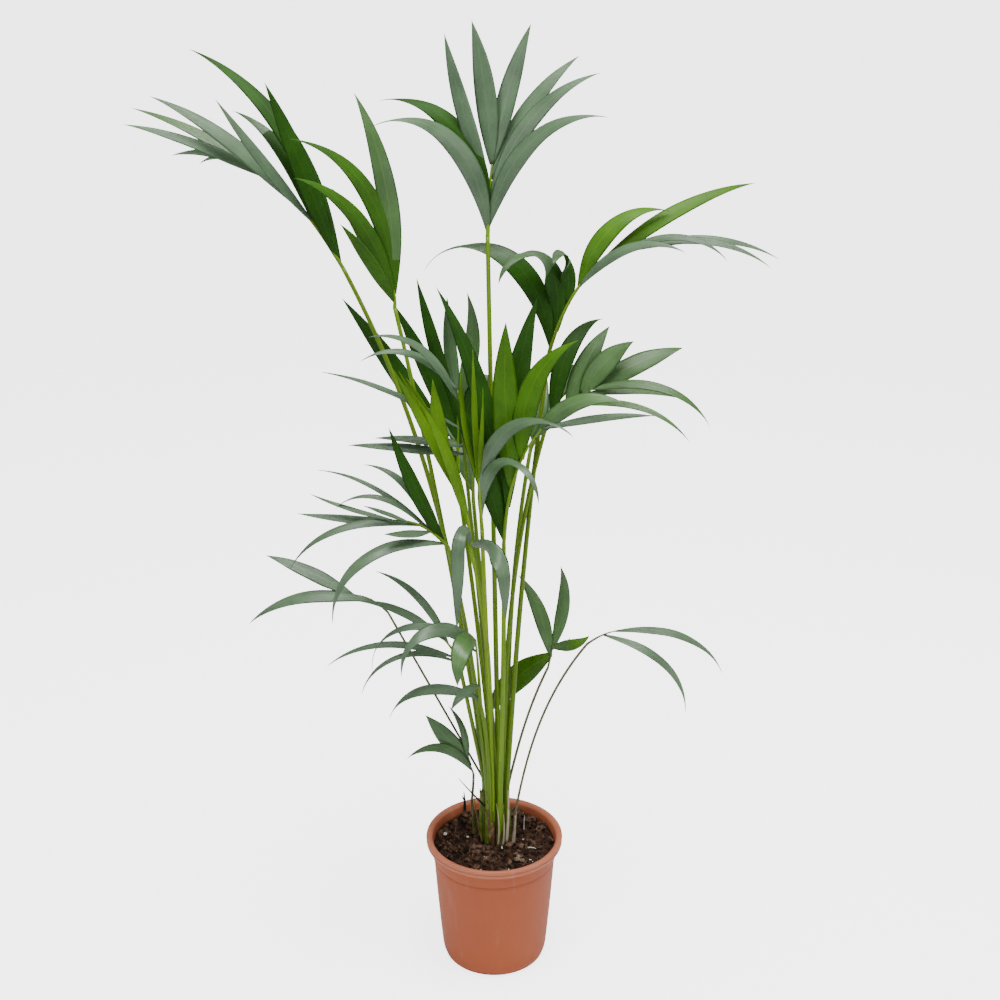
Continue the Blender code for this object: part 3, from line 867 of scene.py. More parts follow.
class Wardrobe:
    """Every finish of the plant, each made once."""

    # Each tone is a pair over the leaf's own green: the upper side paler and greyer as painted sheen from the light
    # above, the underside darker and more saturated as painted shade.
    LEAVES = {
        Tone.PALE: (LeafFinish((0.078, 0.142, 0.070), (0.120, 0.190, 0.090), 0.33, 0.5),
                    LeafFinish((0.030, 0.100, 0.004), (0.060, 0.140, 0.010), 0.5, 0.16)),
        Tone.DEEP: (LeafFinish((0.046, 0.108, 0.032), (0.080, 0.150, 0.050), 0.33, 0.45),
                    LeafFinish((0.014, 0.060, 0.002), (0.035, 0.090, 0.005), 0.5, 0.14)),
        Tone.MID: (LeafFinish((0.056, 0.132, 0.032), (0.100, 0.180, 0.050), 0.33, 0.45),
                   LeafFinish((0.030, 0.098, 0.003), (0.060, 0.140, 0.008), 0.5, 0.16)),
        Tone.FRESH: (LeafFinish((0.070, 0.165, 0.025), (0.120, 0.220, 0.040), 0.34, 0.4),
                     LeafFinish((0.050, 0.145, 0.002), (0.085, 0.195, 0.006), 0.45, 0.2)),
        Tone.NEW: (LeafFinish((0.105, 0.215, 0.008), (0.170, 0.300, 0.015), 0.36, 0.35),
                   LeafFinish((0.094, 0.210, 0.002), (0.165, 0.300, 0.008), 0.45, 0.2)),
    }
    STALKS = {
        StalkTone.OLIVE: StalkFinish((0.078, 0.165, 0.003), (0.165, 0.260, 0.010)),
        StalkTone.GREEN: StalkFinish((0.095, 0.205, 0.003), (0.195, 0.320, 0.010)),
        StalkTone.BRIGHT: StalkFinish((0.150, 0.285, 0.003), (0.280, 0.410, 0.012)),
        StalkTone.GREY: StalkFinish((0.085, 0.085, 0.038), (0.150, 0.140, 0.080)),
    }
    SHEATHS = {
        SheathTone.BROWN: SheathFinish((0.160, 0.085, 0.035), (0.300, 0.200, 0.100)),
        SheathTone.GREEN: SheathFinish((0.110, 0.175, 0.012), (0.170, 0.190, 0.040), 0.5),
        SheathTone.OLIVE: SheathFinish((0.105, 0.120, 0.018), (0.200, 0.160, 0.055), 0.55),
        SheathTone.PAPER: SheathFinish((0.640, 0.560, 0.400), (0.420, 0.320, 0.190), 0.7),
    }

    def __init__(self) -> None:
        """Make the materials."""
        # Upper materials carry the painted sheen, under materials the painted shade.
        self.upper = {tone: pair[0].make(f"leaf_upper_sheen_{tone.value}") for tone, pair in self.LEAVES.items()}
        self.under = {tone: pair[1].make(f"leaf_under_shade_{tone.value}") for tone, pair in self.LEAVES.items()}
        self.stalk = {tone: skin.make(f"stalk_{tone.value}") for tone, skin in self.STALKS.items()}
        self.sheath = {tone: skin.make(f"sheath_{tone.value}") for tone, skin in self.SHEATHS.items()}
        self.pot_body = PotFinish((0.360, 0.070, 0.016), (0.410, 0.090, 0.024)).make("pot_clay")
        # Painted light: the lip is the same plastic as the body, coloured lighter and paler where it catches the light.
        self.pot_lip_lit = PotFinish((0.430, 0.125, 0.058), (0.500, 0.165, 0.088), 0.5).make("pot_lip_lit")
        self.soil = SoilFinish((0.007, 0.004, 0.003), (0.060, 0.028, 0.015)).make("soil_peat")
        self.clod = SoilFinish((0.016, 0.009, 0.006), (0.190, 0.105, 0.065)).make("soil_clod")
        self.crumb = SoilFinish((0.012, 0.006, 0.004), (0.120, 0.058, 0.032)).make("soil_crumb")
        self.fibre = SheathFinish((0.120, 0.065, 0.035), (0.200, 0.130, 0.070), 0.85).make("soil_fibre")
        self.twig = SheathFinish((0.012, 0.009, 0.006), (0.035, 0.025, 0.016), 0.8).make("dry_twig")
        self.tan = SoilFinish((0.110, 0.070, 0.040), (0.330, 0.260, 0.180)).make("soil_tan")
        self.white = PotFinish((0.680, 0.640, 0.560), (0.500, 0.460, 0.390), 0.85).make("soil_white")


def settle(piece: bpy.types.Object, slot: Slot, *nodes: str) -> bpy.types.Object:
    """Fix a piece to the plant's body.

    Args:
        piece: The finished piece.
        slot: The record's material slot; not used.
        nodes: The solids it stands for.

    Returns:
        The piece.
    """
    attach(piece, BODY)
    if nodes:
        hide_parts(*nodes)
    piece.data.calc_loop_triangles()
    log.info("%s: %d triangles", piece.name, len(piece.data.loop_triangles))
    return piece


@dataclass
class PotMaker:
    """The tapered plastic pot with its two-ringed rolled lip."""

    height: float = 190.0
    rim_radius: float = 95.0
    wall: float = 2.2
    sides: int = 160
    lip_bottom: float = 179.0
    lip_groove: float = 184.5
    step_height: float = 159.0
    neck_radius: float = 86.8
    top_radius: float = 84.6
    foot_radius: float = 72.4
    base_radius: float = 69.5
    bead: float = 3.5
    floor: float = 4.0
    foot_round: float = 13.0
    round_steps: int = 6

    def ring(self, low: float, high: float, out: float) -> list[tuple[float, float]]:
        """Return the rounded outside of one ring of the lip, from low to high."""
        middle = 0.5 * (low + high)
        half = 0.5 * (high - low)
        spots = []
        for step in range(self.round_steps + 1):
            angle = math.pi * (step / self.round_steps - 0.5)
            spots.append((out - 1.6 + 1.6 * math.cos(angle), middle + half * math.sin(angle)))
        return spots

    def profile(self) -> list[tuple[float, float, int]]:
        """Return radius, height and finish of the wall, from the middle of the underside inward."""
        foot = self.base_radius - 4.5
        body = [(0.0, 1.4), (foot - 12.0, 1.4), (foot - 9.0, 0.0)]
        body += [(foot - 1.0, 0.0), (foot + 0.4, 0.5), (foot + 1.2, 1.8)]
        body += [(foot + 1.5, self.bead - 0.4), (foot + 0.9, self.bead), (foot + 2.0, self.bead + 0.5)]
        for step in range(1, self.round_steps):
            angle = 0.5 * math.pi * step / self.round_steps
            reach = self.foot_radius + 0.9 - foot - 2.0
            body.append((foot + 2.0 + reach * math.sin(angle), self.bead + 0.5 + self.foot_round * (1.0 - math.cos(angle))))
        stations = 24
        for step in range(2, stations):
            share = step / stations
            swell = 0.35 * math.sin(math.pi * share)
            radius = self.foot_radius + (self.top_radius - self.foot_radius) * share**0.93 + swell
            body.append((radius, self.bead + 1.0 + (self.step_height - 2.0 - self.bead) * share))
        body += [(self.top_radius - 0.1, self.step_height - 2.2), (self.top_radius - 0.7, self.step_height - 1.4)]
        body += [(self.top_radius - 0.7, self.step_height - 0.6), (self.top_radius + 1.0, self.step_height - 0.3)]
        body += [(self.top_radius + 1.3, self.step_height + 0.5), (self.neck_radius - 0.5, 170.0)]
        body += [(self.neck_radius, self.lip_bottom - 0.8), (self.neck_radius + 0.8, self.lip_bottom)]
        lip = self.ring(self.lip_bottom, self.lip_groove, self.rim_radius - 0.3)
        lip += self.ring(self.lip_groove, self.height, self.rim_radius)
        lip += [(self.rim_radius - 4.0, self.height - 0.1), (self.rim_radius - 5.4, self.height - 0.6)]
        lip += [(self.neck_radius - 0.2, self.height - 2.4), (self.neck_radius - 0.8, self.height - 5.0)]
        inside = [(self.neck_radius - self.wall, self.lip_bottom - 2.0)]
        inside += [(self.top_radius - self.wall, self.step_height - 1.0)]
        inside += [(self.foot_radius - self.wall, self.floor), (0.0, self.floor)]
        return [(*spot, 0) for spot in body] + [(*spot, 1) for spot in lip] + [(*spot, 0) for spot in inside]

    def build(self, wardrobe: Wardrobe) -> None:
        """Turn the profile and dress it."""
        skin = Skin()
        profile = self.profile()
        rows = []
        for radius, height, _ in profile:
            if radius == 0.0:
                rows.append([skin.point(Vector((0.0, 0.0, height)))] * self.sides)
                continue
            spots = [2.0 * math.pi * side / self.sides for side in range(self.sides)]
            rows.append([skin.point(Vector((radius * math.cos(a), radius * math.sin(a), height))) for a in spots])
        for index, (lower, upper) in enumerate(zip(rows, rows[1:])):
            finish = profile[index][2]
            for i in range(self.sides):
                j = (i + 1) % self.sides
                corners = dict.fromkeys((lower[i], lower[j], upper[j], upper[i]))
                skin.face(tuple(corners), tuple((0.0, 0.0) for _ in corners), finish)
        # Finish 1, the lip, is the lighter painted-light copy of the pot plastic.
        settle(skin.build("pot_shell", [wardrobe.pot_body, wardrobe.pot_lip_lit]), Slot.POT, "pot")


@dataclass
class LeafMaker:
    """Builds leaflets as thin closed blades with a folded section."""

    widest: float = 0.42
    root_share: float = 0.2
    tip_power: float = 1.15
    across: int = 8
    step_length: float = 7.0
    thick: float = 0.7
    fold: float = 0.16
    rib_height: float = 0.5

    def breadth(self, share: float) -> float:
        """Return the width as a share of the greatest, from root to tip."""
        if share < self.widest:
            swell = math.sin(0.5 * math.pi * share / self.widest)
            return self.root_share + (1.0 - self.root_share) * swell
        return math.cos(0.5 * math.pi * ((share - self.widest) / (1.0 - self.widest)) ** self.tip_power)

    def grow(self, skin: Skin, root: Vector, leaf: Leaf, outlook: Vector, finishes: tuple[int, int],
             shade_colour_share: float, seed: int) -> None:
        """Add one leaflet.

        Args:
            skin: The mesh it is added to.
            root: Where it leaves the rachis.
            leaf: Its limb and width.
            outlook: The direction its upper side looks to at the root.
            finishes: The finish numbers of its upper side, paler as painted sheen, and its underside, darker as painted
                shade.
            shade_colour_share: How much of its length shows the underside's painted-shade colour to the outlook.
            seed: Sets its own unevenness.
        """
        steps = min(max(14, round(leaf.length / self.step_length)), 40)
        limb = Limb(leaf.bearing, leaf.rise, leaf.sag, leaf.length)
        points, heads = limb_path(root, limb, steps)
        level = compass(leaf.bearing + 90.0, 0.0)
        first_upper = heads[0].cross(level)
        roll = math.atan2(-outlook.dot(level), outlook.dot(first_upper))
        own = random.Random(seed)
        phase = own.uniform(0.0, 6.28)
        waves = own.uniform(1.5, 3.0)
        ripple = own.uniform(0.02, 0.05)
        tops: list[list[int]] = []
        bottoms: list[list[int]] = []
        for index in range(steps):
            share = index / steps
            sunk = min(1.0, abs(leaf.sag) * share**DROOP_POWER / LEVEL_AFTER)
            turn = roll * (1.0 - sunk)
            upper = heads[index].cross(level)
            side = level * math.cos(turn) + upper * math.sin(turn)
            face = heads[index].cross(side)
            breadth = self.breadth(share)
            half = 0.5 * leaf.width * breadth
            top = []
            bottom = []
            for column in range(self.across + 1):
                offset = 2.0 * column / self.across - 1.0
                drop = -self.fold * half * abs(offset) ** 1.4 * (1.0 - 0.6 * share)
                wave = ripple * half * offset * math.sin(waves * 2.0 * math.pi * share + phase + offset)
                spot = points[index] + side * (half * offset) + face * (drop + wave + 0.3)
                edge = 1.0 - offset * offset
                rib = self.rib_height * breadth * math.exp(-((offset / 0.16) ** 2))
                body = 0.5 * self.thick * edge**0.5
                number = skin.point(spot + face * (body + 0.4 * rib))
                top.append(number)
                if index == 0 or column in (0, self.across):
                    bottom.append(number)
                else:
                    bottom.append(skin.point(spot - face * (body + 0.6 * rib)))
            tops.append(top)
            bottoms.append(bottom)
        tip = skin.point(points[-1])
        for index in range(steps):
            low = index / steps * leaf.length * MM
            high = (index + 1) / steps * leaf.length * MM
            for column in range(self.across):
                left, right = column / self.across, (column + 1) / self.across
                # Up to the turned share the faces swap finishes, so the outlook face shows the underside's painted
                # shade.
                pair = finishes if index >= shade_colour_share * steps else finishes[::-1]
                for rows, finish, turned in ((tops, pair[0], False), (bottoms, pair[1], True)):
                    if index == steps - 1:
                        corners = [rows[index][column], tip, rows[index][column + 1]]
                        uvs = [(left, low), (0.5, high), (right, low)]
                    else:
                        corners = [rows[index][column], rows[index + 1][column]]
                        corners += [rows[index + 1][column + 1], rows[index][column + 1]]
                        uvs = [(left, low), (left, high), (right, high), (right, low)]
                    if turned:
                        corners.reverse()
                        uvs.reverse()
                    skin.face(tuple(corners), tuple(uvs), finish)


@dataclass
class FrondMaker:
    """One frond: its stalk of petiole and rachis, and its leaflets."""

    name: str
    plan: Frond
    sides: int = 14
    stalk_step: float = 9.0
    groove: float = 0.22
    swell: float = 1.45
    foot_swell: float = 1.15
    grey_swell: float = 0.95
    foot_steps: int = 14
    gather: float = 0.8

    def stalk_rings(self, skin: Skin, spots: list[Vector], ways: list[Vector], radii: list[float],
                    bearing: float, seat: float) -> tuple[list[list[int]], list[float]]:
        """Add the rings of a stalk with a shallow groove along its upper side.

        Args:
            skin: The mesh they are added to.
            spots: Points along the stalk.
            ways: The stalk's direction at each.
            radii: Its radius at each.
            bearing: The bearing it leans to.
            seat: Distance along the stalk of the first point.

        Returns:
            The rings' point numbers, and the distance along of each.
        """
        level = compass(bearing + 90.0, 0.0)
        rings = []
        lengths = [seat]
        for index, (spot, way, radius) in enumerate(zip(spots, ways, radii)):
            upper = way.cross(level).normalized()
            ring = []
            for side in range(self.sides):
                angle = 2.0 * math.pi * side / self.sides
                dip = 1.0 - self.groove * max(0.0, math.sin(angle)) ** 6
                across = level * (radius * dip * math.cos(angle))
                ring.append(skin.point(spot + across - upper * (radius * dip * math.sin(angle))))
            rings.append(ring)
            if index:
                lengths.append(lengths[-1] + (spot - spots[index - 1]).length)
        return rings, lengths

    def build(self, wardrobe: Wardrobe) -> None:
        """Build the stalk and the leaves, each as its own piece."""
        plan = self.plan
        start = Vector(plan.start)
        steps = max(6, round(plan.petiole.length / self.stalk_step))
        points, heads = limb_path(start, plan.petiole, steps)
        end = min(plan.thick, PETIOLE_END_RADIUS)
        swell = self.swelling()
        radii = [swell * (plan.thick + (end - plan.thick) * i / steps) for i in range(steps + 1)]
        skin = Skin()
        low_points, low_heads, low_radii = self.foot_path(start, heads[0])
        rings, lengths = self.stalk_rings(skin, low_points + points, low_heads + heads, low_radii + radii,
                                          plan.petiole.bearing, 0.0)
        skin.tube(rings, lengths, 0)
        rachis_steps = max(8, round(plan.rachis.length / 5.0))
        rachis, ways = limb_path(points[-1], plan.rachis, rachis_steps)
        thin = [swell * (end * 0.98 + (RACHIS_END_RADIUS - end) * i / rachis_steps)
                for i in range(rachis_steps + 1)]
        back = points[-1] - heads[-1] * 3.0
        rings, lengths = self.stalk_rings(skin, [back] + rachis, [heads[-1]] + ways, [thin[0]] + thin,
                                          plan.rachis.bearing, plan.petiole.length)
        skin.tube(rings, lengths, 0)
        tone = STALK_TONES.get(self.name, StalkTone.OLIVE)
        settle(skin.build("stalk_" + self.name, [wardrobe.stalk[tone]]), Slot.PETIOLE, "petiole_" + self.name)
        self.build_leaves(wardrobe, rachis)

    def swelling(self) -> float:
        """Return how much thicker the stalk is than the solid it replaces."""
        return self.grey_swell if STALK_TONES.get(self.name) is StalkTone.GREY else self.swell

    def foot_path(self, start: Vector, head: Vector) -> tuple[list[Vector], list[Vector], list[float]]:
        """Carry the petiole down to the soil beside its stem's foot.

        Args:
            start: Where the petiole leaves the stem's top.
            head: Its direction there.

        Returns:
            The points from the soil up to just below the start, their directions and radii.
        """
        stem = min(STEMS.values(), key=lambda one: (Vector(one.top) - start).length)
        aside = Vector((start.x - stem.top[0], start.y - stem.top[1], 0.0)) * self.gather
        foot = Vector((*stem.foot, SOIL_LEVEL - 4.0)) + aside
        rise = (start - foot).length
        points = []
        heads = []
        radii = []
        for step in range(self.foot_steps):
            share = step / self.foot_steps
            back = 1.0 - share
            near = foot + UP * rise * 0.35
            far = start - head * rise * 0.35
            spot = foot * back**3 + near * (3.0 * back * back * share)
            spot += far * (3.0 * back * share * share) + start * share**3
            points.append(spot)
            thick = self.swelling() * (1.0 + (self.foot_swell - 1.0) * back**1.6)
            radii.append(self.plan.thick * thick)
        for low, high in zip(points, points[1:] + [start]):
            heads.append((high - low).normalized())
        return points, heads, radii

    def build_leaves(self, wardrobe: Wardrobe, rachis: list[Vector]) -> None:
        """Grow the leaflets from the rachis.

        Args:
            wardrobe: The finishes.
            rachis: Points along the rachis.
        """
        plan = self.plan
        maker = LeafMaker()
        skin = Skin()
        materials: list[bpy.types.Material] = []
        outlook = compass(*plan.outlook)
        base = FROND_LOOKS.get(self.name, Look(Tone.MID))
        for number, leaf in enumerate(plan.leaves):
            # turned is the share of the leaf painted in the underside's shaded colour.
            tone, turned = LEAF_LOOKS.get((self.name, number), base)
            for made in (wardrobe.upper[tone], wardrobe.under[tone]):
                if made not in materials:
                    materials.append(made)
            finishes = (materials.index(wardrobe.upper[tone]), materials.index(wardrobe.under[tone]))
            share = max(leaf.seat, ROOT_CLEAR / plan.rachis.length)
            seed = sum(ord(letter) for letter in self.name) * 100 + number
            maker.grow(skin, along(rachis, share), leaf, outlook, finishes, turned, seed)
        slot = Slot.LEAF_NEW if base.tone is Tone.NEW else Slot.LEAF
        settle(skin.build("leaves_" + self.name, materials), slot, "frond_" + self.name)


@dataclass
class StemMaker:
    """One stem: a ribbed core in wraps of sheath with torn tops."""

    name: str
    plan: Stem
    sides: int = 28
    rows: int = 26
    wraps: int = 2
    core: float = 0.55
    shoulder: float = 0.3
    hug: float = 0.35

    def build(self, wardrobe: Wardrobe) -> None:
        """Build the core and its wraps as one piece."""
        seed = sum(ord(letter) for letter in self.name)
        own = random.Random(seed)
        low = Vector((*self.plan.foot, SOIL_LEVEL - 3.0))
        high = Vector(self.plan.top)
        skin = Skin()
        rings = []
        lengths = []
        for row in range(self.rows + 1):
            share = row / self.rows
            centre = low.lerp(high, share)
            radius = self.plan.top_radius + (self.plan.foot_radius - self.plan.top_radius) * (1.0 - share) ** 2
            radius *= self.core * (1.0 - 0.6 * smooth_step(share, self.shoulder, 1.0))
            ring = []
            for side in range(self.sides):
                angle = 2.0 * math.pi * side / self.sides
                ribs = 0.03 * math.sin(9.0 * angle + seed) + 0.02 * math.sin(4.0 * angle + 3.0 * share)
                reach = radius * (1.0 + ribs)
                ring.append(skin.point(centre + Vector((reach * math.cos(angle), reach * math.sin(angle), 0.0))))
            rings.append(ring)
            lengths.append(share * (high - low).length)
        skin.tube(rings, lengths, 0)
        for wrap in range(self.wraps):
            self.wrap(skin, low, high, own, wrap)
        tone = STEM_TONES[self.name]
        dry = SheathTone.PAPER if tone is SheathTone.OLIVE else SheathTone.BROWN
        materials = [wardrobe.sheath[tone], wardrobe.sheath[dry]]
        settle(skin.build("sheath_" + self.name, materials), Slot.SHEATH, "stem_" + self.name)

    def wrap(self, skin: Skin, low: Vector, high: Vector, own: random.Random, number: int) -> None:
        """Add one wrap of sheath that covers part of the stem and ends in a torn edge.

        Args:
            skin: The mesh it is added to.
            low: The stem's foot.
            high: The stem's top.
            own: The stem's own random source.
            number: The wrap's number, from the stem outward.
        """
        first = own.uniform(0.0, 2.0 * math.pi)
        sweep = own.uniform(2.6, 4.6) if number == 0 else own.uniform(0.7, 1.3)
        top_share = own.uniform(0.5, 0.85) if number == 0 else own.uniform(0.3, 0.6)
        columns = 22
        rows = 20
        fronts: list[list[int]] = []
        backs: list[list[int]] = []
        for column in range(columns + 1):
            angle = first + sweep * column / columns
            torn = top_share * (1.0 - 0.18 * noise.noise(Vector((angle * 2.0, number, 3.0))) ** 2 - 0.06 * own.random())
            front = []
            back = []
            for row in range(rows + 1):
                share = torn * row / rows
                centre = low.lerp(high, share)
                radius = self.plan.top_radius + (self.plan.foot_radius - self.plan.top_radius) * (1.0 - share) ** 2
                flare = 0.5 * smooth_step(share, torn - 0.12, torn)
                edge = 0.35 * (abs(2.0 * column / columns - 1.0) ** 6)
                reach = radius * (0.96 + 0.04 * number - self.hug * share) + 0.25 + flare + edge
                reach += 0.12 * math.sin(14.0 * angle)
                spoke = Vector((math.cos(angle), math.sin(angle), 0.0))
                front.append(skin.point(centre + spoke * reach))
                shared = column in (0, columns) or row in (0, rows)
                back.append(front[-1] if shared else skin.point(centre + spoke * (reach - 0.35)))
            fronts.append(front)
            backs.append(back)
        for column in range(columns):
            left, right = column / columns, (column + 1) / columns
            for row in range(rows):
                bottom, top = row / rows * 0.1, (row + 1) / rows * 0.1
                uvs = ((left, bottom), (right, bottom), (right, top), (left, top))
                corners = (fronts[column][row], fronts[column + 1][row])
                corners += (fronts[column + 1][row + 1], fronts[column][row + 1])
                skin.face(corners, uvs, number % 2)
                corners = (backs[column][row], backs[column][row + 1])
                corners += (backs[column + 1][row + 1], backs[column + 1][row])
                skin.face(corners, (uvs[0], uvs[3], uvs[2], uvs[1]), number % 2)


@dataclass
class LitterMaker:
    """The dry strips by the stems and the sticks and clods that the photo shows on the soil."""

    steps: int = 12
    sides: int = 10
    lump_rows: int = 12
    lump_sides: int = 20
    rough: float = 0.34

    def strip(self, skin: Skin, plan: Strip) -> None:
        """Add one strip that tapers to its high end.

        Args:
            skin: The mesh it is added to.
            plan: The strip.
        """
        low, middle, high = Vector(plan.low), Vector(plan.middle), Vector(plan.high)
        rings = []
        lengths = []
        for step in range(self.steps + 1):
            share = step / self.steps
            back = 1.0 - share
            spot = low * back**2 + middle * (2.0 * back * share) + high * share**2
            head = ((middle - low) * back + (high - middle) * share).normalized()
            side = head.cross(Vector((0.0, 1.0, 0.0))).normalized()
            face = head.cross(side)
            taper = (1.0 - 0.75 * share**2) * (1.0 + 0.25 * noise.noise(spot / 7.0))
            ring = []
            for number in range(self.sides):
                angle = 2.0 * math.pi * number / self.sides
                reach = side * (plan.half * math.cos(angle)) + face * (plan.flat * math.sin(angle))
                ring.append(skin.point(spot + reach * taper))
            rings.append(ring)
            lengths.append(share * (high - low).length)
        skin.tube(rings, lengths, plan.finish)

    def lump(self, skin: Skin, plan: Clod) -> None:
        """Add one uneven lump.

        Args:
            skin: The mesh it is added to.
            plan: The clod.
        """
        centre = Vector(plan.place)
        rings = []
        for row in range(1, self.lump_rows):
            lift = math.pi * (row / self.lump_rows - 0.5)
            ring = []
            for side in range(self.lump_sides):
                angle = 2.0 * math.pi * side / self.lump_sides
                ray = Vector((math.cos(lift) * math.cos(angle), math.cos(lift) * math.sin(angle), math.sin(lift)))
                uneven = 1.0 + self.rough * noise.noise(ray * 1.6 + centre)
                uneven += 0.5 * self.rough * noise.noise(ray * 4.5 + centre)
                scaled = Vector(one * size for one, size in zip(ray, plan.size))
                ring.append(skin.point(centre + scaled * uneven))
            rings.append(ring)
        skin.tube(rings, [0.0] * len(rings), plan.finish)

    def build(self, wardrobe: Wardrobe) -> None:
        """Build the dry strips as one piece, and the sticks and clods as another."""
        skin = Skin()
        for plan in DRY_STRIPS:
            self.strip(skin, plan)
        finishes = [wardrobe.sheath[SheathTone.BROWN], wardrobe.sheath[SheathTone.PAPER],
                    wardrobe.sheath[SheathTone.OLIVE], wardrobe.twig]
        settle(skin.build("sheath_strips", finishes), Slot.SHEATH, "stem_front")
        skin = Skin()
        for plan in SOIL_STICKS:
            self.strip(skin, plan)
        for plan in SOIL_CLODS:
            self.lump(skin, plan)
        finishes = [wardrobe.twig, wardrobe.white, wardrobe.clod, wardrobe.tan]
        settle(skin.build("soil_sticks", finishes), Slot.SOIL, "soil")


class ScatterTree:
    """A Geometry Nodes tree that scatters one shape over the upward faces of a surface."""

    def __init__(self, name: str) -> None:
        """Start the tree with its named inputs."""
        self.tree = bpy.data.node_groups.new(name, "GeometryNodeTree")
        face = self.tree.interface
        face.new_socket("Surface", in_out="INPUT", socket_type="NodeSocketGeometry")
        self.inputs = {}
        for label, kind in (("Density", "Float"), ("Size", "Float"), ("Long", "Float"), ("Lift", "Float"),
                            ("Seed", "Int"), ("Finish", "Material")):
            socket = face.new_socket(label, in_out="INPUT", socket_type="NodeSocket" + kind)
            self.inputs[label] = socket.identifier
        face.new_socket("Pieces", in_out="OUTPUT", socket_type="NodeSocketGeometry")
        self.given = self.tree.nodes.new("NodeGroupInput")
        self.build()

    def add(self, kind: str, values: dict | None = None, **settings: object) -> bpy.types.Node:
        """Add a node, set its properties and fill or link its sockets."""
        made = self.tree.nodes.new(kind)
        for key, value in settings.items():
            setattr(made, key, value)
        for key, value in (values or {}).items():
            if isinstance(value, bpy.types.NodeSocket):
                self.tree.links.new(value, made.inputs[key])
            else:
                made.inputs[key].default_value = value
        return made

    def build(self) -> None:
        """Lay out the tree: points, a lumpy grain on each, realized, moved by noise and dressed."""
        given = self.given.outputs
        points = self.add("GeometryNodeDistributePointsOnFaces",
                          {"Mesh": given["Surface"], "Density": given["Density"], "Seed": given["Seed"]})
        grain = self.add("GeometryNodeMeshIcoSphere", {"Radius": 0.5, "Subdivisions": 2})
        stretch = self.add("ShaderNodeCombineXYZ", {0: 1.0, 1: 1.0, 2: given["Long"]})
        shaped = self.add("GeometryNodeTransform", {"Geometry": grain.outputs["Mesh"], "Scale": stretch.outputs[0]})
        turn = self.add("FunctionNodeRandomValue", {"Min": (0.0, 0.0, 0.0), "Max": (6.3, 6.3, 6.3), "Seed": 3},
                        data_type="FLOAT_VECTOR")
        grade = self.add("FunctionNodeRandomValue", {2: 0.35, 3: 1.0, "Seed": 5}, data_type="FLOAT")
        scale = self.add("ShaderNodeMath", {0: grade.outputs[1], 1: given["Size"]}, operation="MULTIPLY")
        placed = self.add("GeometryNodeInstanceOnPoints",
                          {"Points": points.outputs["Points"], "Instance": shaped.outputs["Geometry"],
                           "Rotation": turn.outputs[0], "Scale": scale.outputs[0]})
        real = self.add("GeometryNodeRealizeInstances", {"Geometry": placed.outputs["Instances"]})
        lumps = self.add("ShaderNodeTexNoise", {"Scale": 260.0, "Detail": 2.0})
        centred = self.add("ShaderNodeVectorMath", {0: lumps.outputs["Color"], 1: (0.5, 0.5, 0.5)},
                           operation="SUBTRACT")
        push = self.add("ShaderNodeMath", {0: given["Size"], 1: 1.1}, operation="MULTIPLY")
        offset = self.add("ShaderNodeVectorMath", {0: centred.outputs[0], "Scale": push.outputs[0]},
                          operation="SCALE")
        lift = self.add("ShaderNodeCombineXYZ", {0: 0.0, 1: 0.0, 2: given["Lift"]})
        total = self.add("ShaderNodeVectorMath", {0: offset.outputs[0], 1: lift.outputs[0]}, operation="ADD")
        moved = self.add("GeometryNodeSetPosition",
                         {"Geometry": real.outputs["Geometry"], "Offset": total.outputs[0]})
        dressed = self.add("GeometryNodeSetMaterial",
                           {"Geometry": moved.outputs["Geometry"], "Material": given["Finish"]})
        out = self.add("NodeGroupOutput")
        self.tree.links.new(dressed.outputs["Geometry"], out.inputs["Pieces"])

    def scatter(self, name: str, surface: bpy.types.Object, finish: bpy.types.Material, **sizes: float) -> bpy.types.Object:
        """Scatter grains over a surface.

        Args:
            name: The new piece's name.
            surface: The object whose faces carry the grains.
            finish: The grains' material.
            sizes: Values for the tree's named inputs.

        Returns:
            The grains as a plain mesh object.
        """
        carrier = bpy.data.objects.new(name + "_carrier", surface.data.copy())
        bpy.context.scene.collection.objects.link(carrier)
        modifier = carrier.modifiers.new("scatter", "NODES")
        modifier.node_group = self.tree
        modifier[self.inputs["Finish"]] = finish
        for label, value in sizes.items():
            modifier[self.inputs[label]] = value
        bpy.context.view_layer.update()
        graph = bpy.context.evaluated_depsgraph_get()
        mesh = bpy.data.meshes.new_from_object(carrier.evaluated_get(graph))
        carrier.modifiers.clear()
        bpy.data.objects.remove(carrier, do_unlink=True)
        mesh.name = name
        if not mesh.materials:
            mesh.materials.append(finish)
        made = bpy.data.objects.new(name, mesh)
        bpy.context.scene.collection.objects.link(made)
        return made


